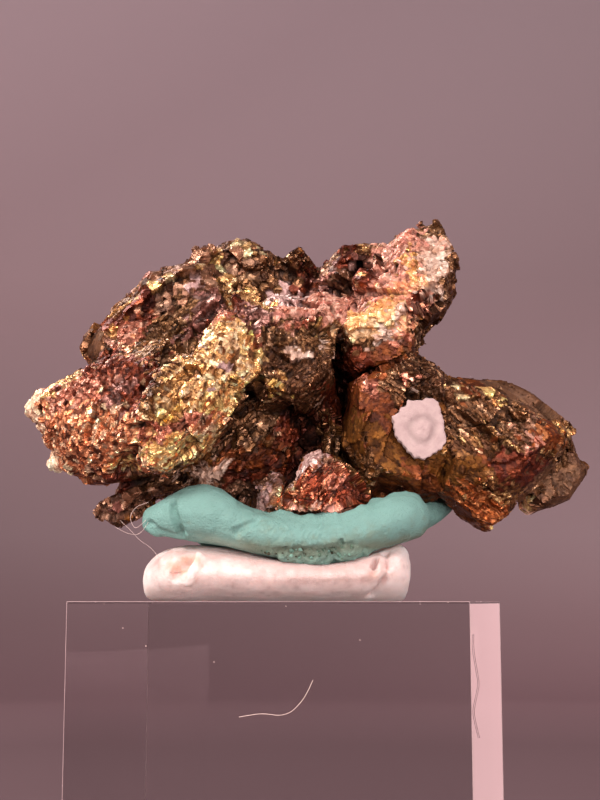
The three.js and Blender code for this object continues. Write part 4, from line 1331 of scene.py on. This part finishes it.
def putty_material(name, roll):
    """Waxy putty with a mottled colour and fine wrinkles, that light sinks into."""
    look = Look(name)
    place = look.place()
    mottle = look.ramp(look.noise(place, per_mm=1.1), PUTTY_MOTTLE)
    streaked = look.vector("MULTIPLY", place, PUTTY_STREAKED)
    streaks = look.noise(streaked, per_mm=1.8, detail=5, roughness=0.65)
    height = look.number("ADD", streaks, look.noise(place, per_mm=6))
    return look.finished(
        {
            "Base Color": look.multiplied(1, look.attribute("tint", "Color"), mottle),
            "Roughness": look.ramp(look.noise(place, per_mm=3), PUTTY_ROUGHNESS),
            "Normal": look.bump(height, roll.wrinkles),
            "Specular IOR Level": roll.shine,
            "Subsurface Weight": roll.glow,
            "Subsurface Scale": roll.glow_depth * MM,
            "Subsurface Radius": GLOW_RADIUS,
        }
    )


def pressed_to(points, tree, reach, sink):
    """Points near a neighbour's surface, moved onto it and sunk a little into it."""
    moved = points.copy()
    for index, point in enumerate(points):
        found, _, _, distance = tree.find_nearest(Vector(point), reach)
        if found is not None and distance > 1e-6:
            towards = (np.array(found) - point) / distance
            moved[index] = point + towards * (distance + sink) * (1 - (distance / reach) ** 2)
    return moved


def stained_and_painted(points, roll, tree):
    """A colour for each point of a roll, with soft ragged stains and patches of painted shade and glow."""
    tint = np.tile(roll.colour, (len(points), 1))
    ragged = layered_noise(points, STAIN_AND_SHADE_RAGGED, 1)
    for path, reach, colour, strength in roll.stains:
        away = away_from(points, seen_path(tree, path)) * ragged / reach
        share = strength * hill(away)[:, None]
        tint = tint * (1 - share) + np.array(colour) * share
    return tint


def printed(points, normals, middle):
    """Points moved in and out in fine uneven wrinkles round a place, like pressed skin prints."""
    near = np.exp(-(((points - middle) / PRINTS_REACH) ** 2).sum(axis=1))
    along = layered_noise(points, [PRINTS_BENT], points @ unit(np.array(PRINTS_ALONG)))
    broken = smooth_noise(points * PRINTS_SQUASH, *PRINTS_BROKEN)
    fold = np.sin(along * 2 * math.pi / PRINTS_APART) * broken
    return raised(points, normals, PRINTS_DEPTH * near * fold)


def pebble(middle, size, least, most):
    """A small uneven lump, as (corners, faces)."""
    bm = bmesh.new()
    bmesh.ops.create_icosphere(bm, subdivisions=1, radius=size)
    corners = [middle + np.array(v.co) * rng.uniform(least, most) for v in bm.verts]
    faces = [[v.index for v in face.verts] for face in bm.faces]
    bm.free()
    return corners, faces


def joined(parts):
    """Parts of (corners, faces) as one."""
    corners, faces = [], []
    for part_corners, part_faces in parts:
        faces += [[len(corners) + number for number in face] for face in part_faces]
        corners += list(part_corners)
    return np.array(corners), faces


def make_crumbs(points, tree, material):
    """Small crumbs of putty along the crumbled lower edge."""
    crumbs, tints = [], []
    for path, count in CRUMB_PATHS:
        ends = seen_path(tree, path)
        for _ in range(count):
            middle = ends[0] + (ends[1] - ends[0]) * rng.random() + rng.normal(0, CRUMB_STRAY, 3)
            middle = points[((points - middle) ** 2).sum(axis=1).argmin()]
            size = CRUMB_SIZE[0] + CRUMB_SIZE[1] * rng.random() ** 2
            corners, faces = pebble(middle, size, *CRUMB_UNEVEN)
            crumbs.append((corners, faces))
            tints += [CRUMB_COLOURS[rng.integers(len(CRUMB_COLOURS))]] * len(corners)
    values = {"tint": np.array(tints)}
    make_piece("putty_crumbs", *joined(crumbs), material, "green_putty", values=values)


def start_roll(node):
    """A roll of putty with its folds, and the search tree of its solid."""
    tree = cad_tree(node)
    points, triangles, normals = evened_mesh(node, PUTTY_VOXEL, smoothing=ROLLS[node].smoothing)
    points = points + ROLLS[node].swell * normals
    return relieved(points, normals, ROLLS[node].reliefs, tree), triangles, normals, tree


def finish_roll(name, node, points, triangles, tree):
    """Makes a roll's piece, and gives its material."""
    material = putty_material(node, ROLLS[node])
    values = {"tint": stained_and_painted(points, ROLLS[node], tree)}
    make_piece(name, points, triangles, material, node, [node], values, smooth=True)
    return material


def make_green_roll():
    """The green roll that holds the ore, with skin prints and a crumbled lower edge."""
    points, triangles, normals, tree = start_roll("green_putty")
    points = printed(points, normals, seen_at(tree, *PRINTS_AT))
    crumbly = hill(away_from(points, seen_path(tree, CRUMBLED_EDGE)), CRUMBLED_REACH)
    points = raised(points, normals, crumbly * layered_noise(points, CRUMBLED_LUMPS))
    points = raised(points, normals, layered_noise(points, ROLLS["green_putty"].noise))
    points = pressed_to(points, ORE_TREE, PRESSED_REACH, PRESSED_IN)
    material = finish_roll("green_roll", "green_putty", points, triangles, tree)
    make_crumbs(points, tree, material)


def make_white_roll():
    """The white roll under it, pressed flat on the cube."""
    points, triangles, normals, tree = start_roll("white_putty")
    points = raised(points, normals, layered_noise(points, ROLLS["white_putty"].noise))
    height = points[:, 2]
    low = np.clip((PRESSED_UP_TO - height) / (PRESSED_UP_TO - WHITE_GAP), 0, 1)
    points[:, 2] = np.maximum(height - eased(low, WHITE_GAP), LOWEST)
    finish_roll("white_roll", "white_putty", points, triangles, tree)


def crust_material():
    """Dull powdery white with faint patches."""
    look = Look("white_crust")
    place = look.place()
    mottle = look.ramp(look.noise(place, per_mm=1.6), CRUST_MOTTLE)
    return look.finished(
        {
            "Base Color": look.multiplied(1, look.attribute("tint", "Color"), mottle),
            "Roughness": 0.75,
            "Normal": look.bump(look.noise(place, per_mm=7, detail=5), depth=0.05),
        }
    )


def make_crust():
    """The white crust: a ragged disc with a notch, and a ring-shaped groove round a low boss."""
    points, triangles, normals = evened_mesh("white_crust", CRUST_VOXEL, smoothing=4)
    middle = (points.min(axis=0) + points.max(axis=0)) / 2 + CRUST_OFFSET
    flat = (points - middle)[:, (0, 2)]
    angle = np.arctan2(flat[:, 1], flat[:, 0])
    from_middle = np.hypot(*flat.T)
    teeth = TEETH_HEIGHT * np.sin(layered_noise(points, [TEETH_BENT], angle * CRUST_TEETH))
    ragged = layered_noise(points, [RIM_RAGGED], teeth)
    notch = -NOTCH_DEPTH * hill(angle - CRUST_NOTCH, NOTCH_WIDTH)
    outer = np.clip(from_middle / CRUST_RADIUS - RIM_FROM, 0, 0.5)[:, None] * 2
    points[:, (0, 2)] += flat * (ragged * RIM_SHARE + notch)[:, None] * outer

    lobed = 1 + RING_LOBED * np.cos(CRUST_LOBES * angle + RING_TURN)
    radius = layered_noise(points, [RING_WANDERS], from_middle * lobed)
    front = np.clip(-normals[:, 1], 0, 1) ** 2
    uneven = layered_noise(points, [RING_UNEVEN], RING_MEAN)
    groove = -RING_DEPTH * hill(radius - CRUST_RING, RING_WIDTH) * uneven
    boss = CRUST_BOSS[0] * hill(radius, CRUST_BOSS[1]) * (1 + BOSS_LOBED * np.cos(CRUST_LOBES * angle))
    powder = layered_noise(points, CRUST_POWDER)
    points = raised(points, normals, front * (groove + boss) + powder)
    # painted shade in the ring's groove
    shade = 1 - RING_SHADE_DARKENS * hill(radius - CRUST_RING, RING_SHADE_WIDTH) * front
    values = {"tint": np.array(CRUST_COLOUR) * shade[:, None]}
    material = crust_material()
    make_piece("crust_disc", points, triangles, material, "crust", ["white_crust"], values, smooth=True)


def dress_cube():
    """Clear cast acrylic with faint smears."""
    look = Look("clear_acrylic")
    smears = look.ramp(look.noise(look.place(), per_mm=0.12, detail=6), SMEARS)
    values = {"Base Color": ACRYLIC_COLOUR, "Transmission Weight": 1, "IOR": ACRYLIC_IOR, "Roughness": smears}
    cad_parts["acrylic_block"].data.materials[0] = look.finished(values)


def bands(rings, sides):
    """The faces between rings of corners."""
    faces = []
    for ring, side in itertools.product(range(rings - 1), range(sides)):
        one, next_one = ring * sides + side, ring * sides + (side + 1) % sides
        faces.append((one, one + sides, next_one + sides, next_one))
    return faces


def tube(path, radius, sides=5):
    """A thin closed tube through the places of a path, as (points, faces)."""
    steps = np.linspace(0, len(path) - 1, TUBE_STEPS * (len(path) - 1) + 1)
    smooth = np.stack([np.interp(steps, range(len(path)), path[:, axis]) for axis in range(3)], axis=1)
    for _ in range(TUBE_ROUNDS):
        smooth[1:-1] = (smooth[:-2] + smooth[1:-1] * 2 + smooth[2:]) / 4
    ahead = unit(np.gradient(smooth, axis=0))
    across = unit(np.cross(ahead, np.array(TUBE_ASKEW)))
    over = np.cross(ahead, across)
    turns = 2 * math.pi * np.arange(sides) / sides
    rings = smooth[:, None] + radius * (
        np.cos(turns)[None, :, None] * across[:, None] + np.sin(turns)[None, :, None] * over[:, None]
    )
    caps = [tuple(range(sides)), tuple(range(len(rings) * sides - 1, (len(rings) - 1) * sides - 1, -1))]
    return rings.reshape(-1, 3), caps + bands(len(rings), sides)


def make_fibres():
    """Stray hairs on the cube and at the ends of the rolls, and specks of dust."""
    materials = {
        "pale_fibre": plain_material("pale_fibre", srgb(236, 206, 196), 0.5),
        "brown_fibre": plain_material("brown_fibre", srgb(64, 22, 18), 0.8, 0),
    }
    for name, fibre in FIBRES.items():
        path = seen_path(cad_tree(fibre.node), fibre.path) + np.array(fibre.bends)
        make_piece(name, *tube(path, fibre.radius), materials[fibre.material])
    cube = cad_tree("acrylic_block")
    specks = [pebble(seen_at(cube, *at) + ON_THE_CUBE, DUST_SIZE, *DUST_UNEVEN) for at in DUST_AT]
    make_piece("dust_specks", *joined(specks), materials["pale_fibre"])


def cube_edges():
    """The four upright edges of the cube and the four of its top, as pairs of ends in the view frame."""
    low, high = (np.array(corner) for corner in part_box("acrylic_block"))
    around = [(low[0], low[1]), (high[0], low[1]), (high[0], high[1]), (low[0], high[1])]
    upright = [((x, y, low[2]), (x, y, high[2])) for x, y in around]
    top = [((*one, high[2]), (*other, high[2])) for one, other in zip(around, around[1:] + around[:1])]
    return [in_frame(np.array(ends), VIEW_TO_ROW.inverted()) for ends in upright + top]


def make_edge_lines():
    """Pale lines on the cube's edges, partly wear and partly a painted highlight, with tiny chips on them."""
    parts = []
    for ends in cube_edges():
        parts.append(tube(ends, EDGE_LINE_RADIUS, 4))
        for _ in range(CHIPS_PER_EDGE):
            middle = ends[0] + (ends[1] - ends[0]) * rng.random()
            size = CHIP_SIZE[0] + CHIP_SIZE[1] * rng.random() ** 3
            uneven = 1 + CHIP_UNEVEN * (rng.random((8, 3)) - 0.5)
            parts.append((middle + BOX_CORNERS * size * uneven, BOX_TRIANGLES))
    # pale, as wear and as a painted highlight on the edges
    pale = plain_material("edge_wear_and_highlight", srgb(176, 148, 148), 0.6)
    make_piece("edge_wear_and_highlights", *joined(parts), pale)


def make_camera():
    data = bpy.data.cameras.new("camera")
    data.sensor_width = CAMERA_SENSOR
    data.lens = CAMERA_LENS
    data.clip_start = 0.005
    camera = new_object("camera", data)
    camera.location = VIEW_TO_ROW @ Vector(CAMERA_AT)
    camera.rotation_euler = (math.pi / 2 + CAMERA_TIP, 0, VIEW_TURN)
    bpy.context.scene.camera = camera


def slanted(look, place, length, shift, limit):
    """How far a place has gone along the slant, kept within its limit."""
    gone = look.number("ADD", look.number("DIVIDE", place, length), shift)
    return look.clamped(gone, limit)


def stage_material():
    """Mauve-grey paper; painted light makes it a little lighter up the wall, painted shade darker near the
    middle.
    """
    look = Look("stage_paper")
    place = look.place()
    apart = look.add("SeparateXYZ", {0: place})
    up = look.number("DIVIDE", apart["Z"], SHADE_HEIGHT)
    away = look.number("DIVIDE", look.vector("LENGTH", place), STAGE_RADIUS)
    shade = look.multiplied(1, look.ramp(up, PAPER_COLOURS_AND_LIGHT), look.ramp(away, PAINTED_FLOOR_SHADE))
    # a painted slant of light and shade across the wall
    across = slanted(look, apart["X"], *SLANT_ACROSS)
    slant = look.number("MULTIPLY", across, slanted(look, apart["Z"], *SLANT_UP))
    slant = look.number("ADD", look.number("MULTIPLY", slant, 0.5), 0.5)
    shade = look.multiplied(1, shade, look.ramp(slant, ((0, 1), (1, SLANT_SHADE_DARKEST))))
    return look.finished({"Base Color": shade, "Roughness": 0.9, "Specular IOR Level": 0})


def make_stage():
    """A pale floor that rises all round into a plain mauve-grey wall."""
    profile = [(STAGE_RADIUS - STAGE_COVE, 0)]
    for step in range(1, COVE_STEPS + 1):
        angle = step / COVE_STEPS * math.pi / 2
        radius = STAGE_RADIUS - STAGE_COVE + STAGE_COVE * math.sin(angle)
        profile.append((radius, STAGE_COVE * (1 - math.cos(angle))))
    profile.append((STAGE_RADIUS, STAGE_HEIGHT))
    points = []
    for radius, height in profile:
        for side in range(STAGE_SIDES):
            turn = 2 * math.pi * side / STAGE_SIDES
            place = (radius * math.cos(turn), radius * math.sin(turn), height - STAGE_BELOW)
            points.append(Vector(place) * MM)
    mesh = bpy.data.meshes.new("stage")
    mesh.from_pydata(points, [], [tuple(range(STAGE_SIDES))] + bands(len(profile), STAGE_SIDES))
    mesh.polygons.foreach_set("use_smooth", [True] * len(mesh.polygons))
    mesh.materials.append(stage_material())
    new_object("stage", mesh)


def add_light(name, light):
    """A soft square light that shines on the specimen, placed by angles round it as seen from the camera."""
    data = bpy.data.lights.new(name, "AREA")
    data.shape = "RECTANGLE"
    data.size, data.size_y = (side * MM for side in light.size)
    data.energy = light.power
    data.color = light.colour
    a, e = math.radians(light.azimuth), math.radians(light.elevation)
    outward = Vector((math.sin(a) * math.cos(e), -math.cos(a) * math.cos(e), math.sin(e)))
    outward = (VIEW_TO_ROW.to_3x3() @ outward).normalized()
    lamp = new_object(name, data)
    lamp.location = VIEW_TO_ROW @ Vector(LIT_POINT) + outward * light.distance * MM
    lamp.rotation_mode = "QUATERNION"
    lamp.rotation_quaternion = outward.to_track_quat("Z", "Y")
    for kind in ("camera", *light.unseen_in):
        setattr(lamp, "visible_" + kind, False)


def light_scene():
    world = bpy.data.worlds.new("studio")
    bpy.context.scene.world = world
    world.use_nodes = True
    background = world.node_tree.nodes["Background"]
    background.inputs["Color"].default_value = (*ROOM_COLOUR, 1)
    background.inputs["Strength"].default_value = ROOM_STRENGTH
    for name, light in LIGHTS.items():
        add_light(name, light)
    bpy.context.scene.view_settings.view_transform = "Standard"
    bpy.context.scene.view_settings.look = "None"


make_camera()
make_stage()
light_scene()
make_ore()
make_green_roll()
make_white_roll()
make_crust()
dress_cube()
make_fibres()
make_edge_lines()
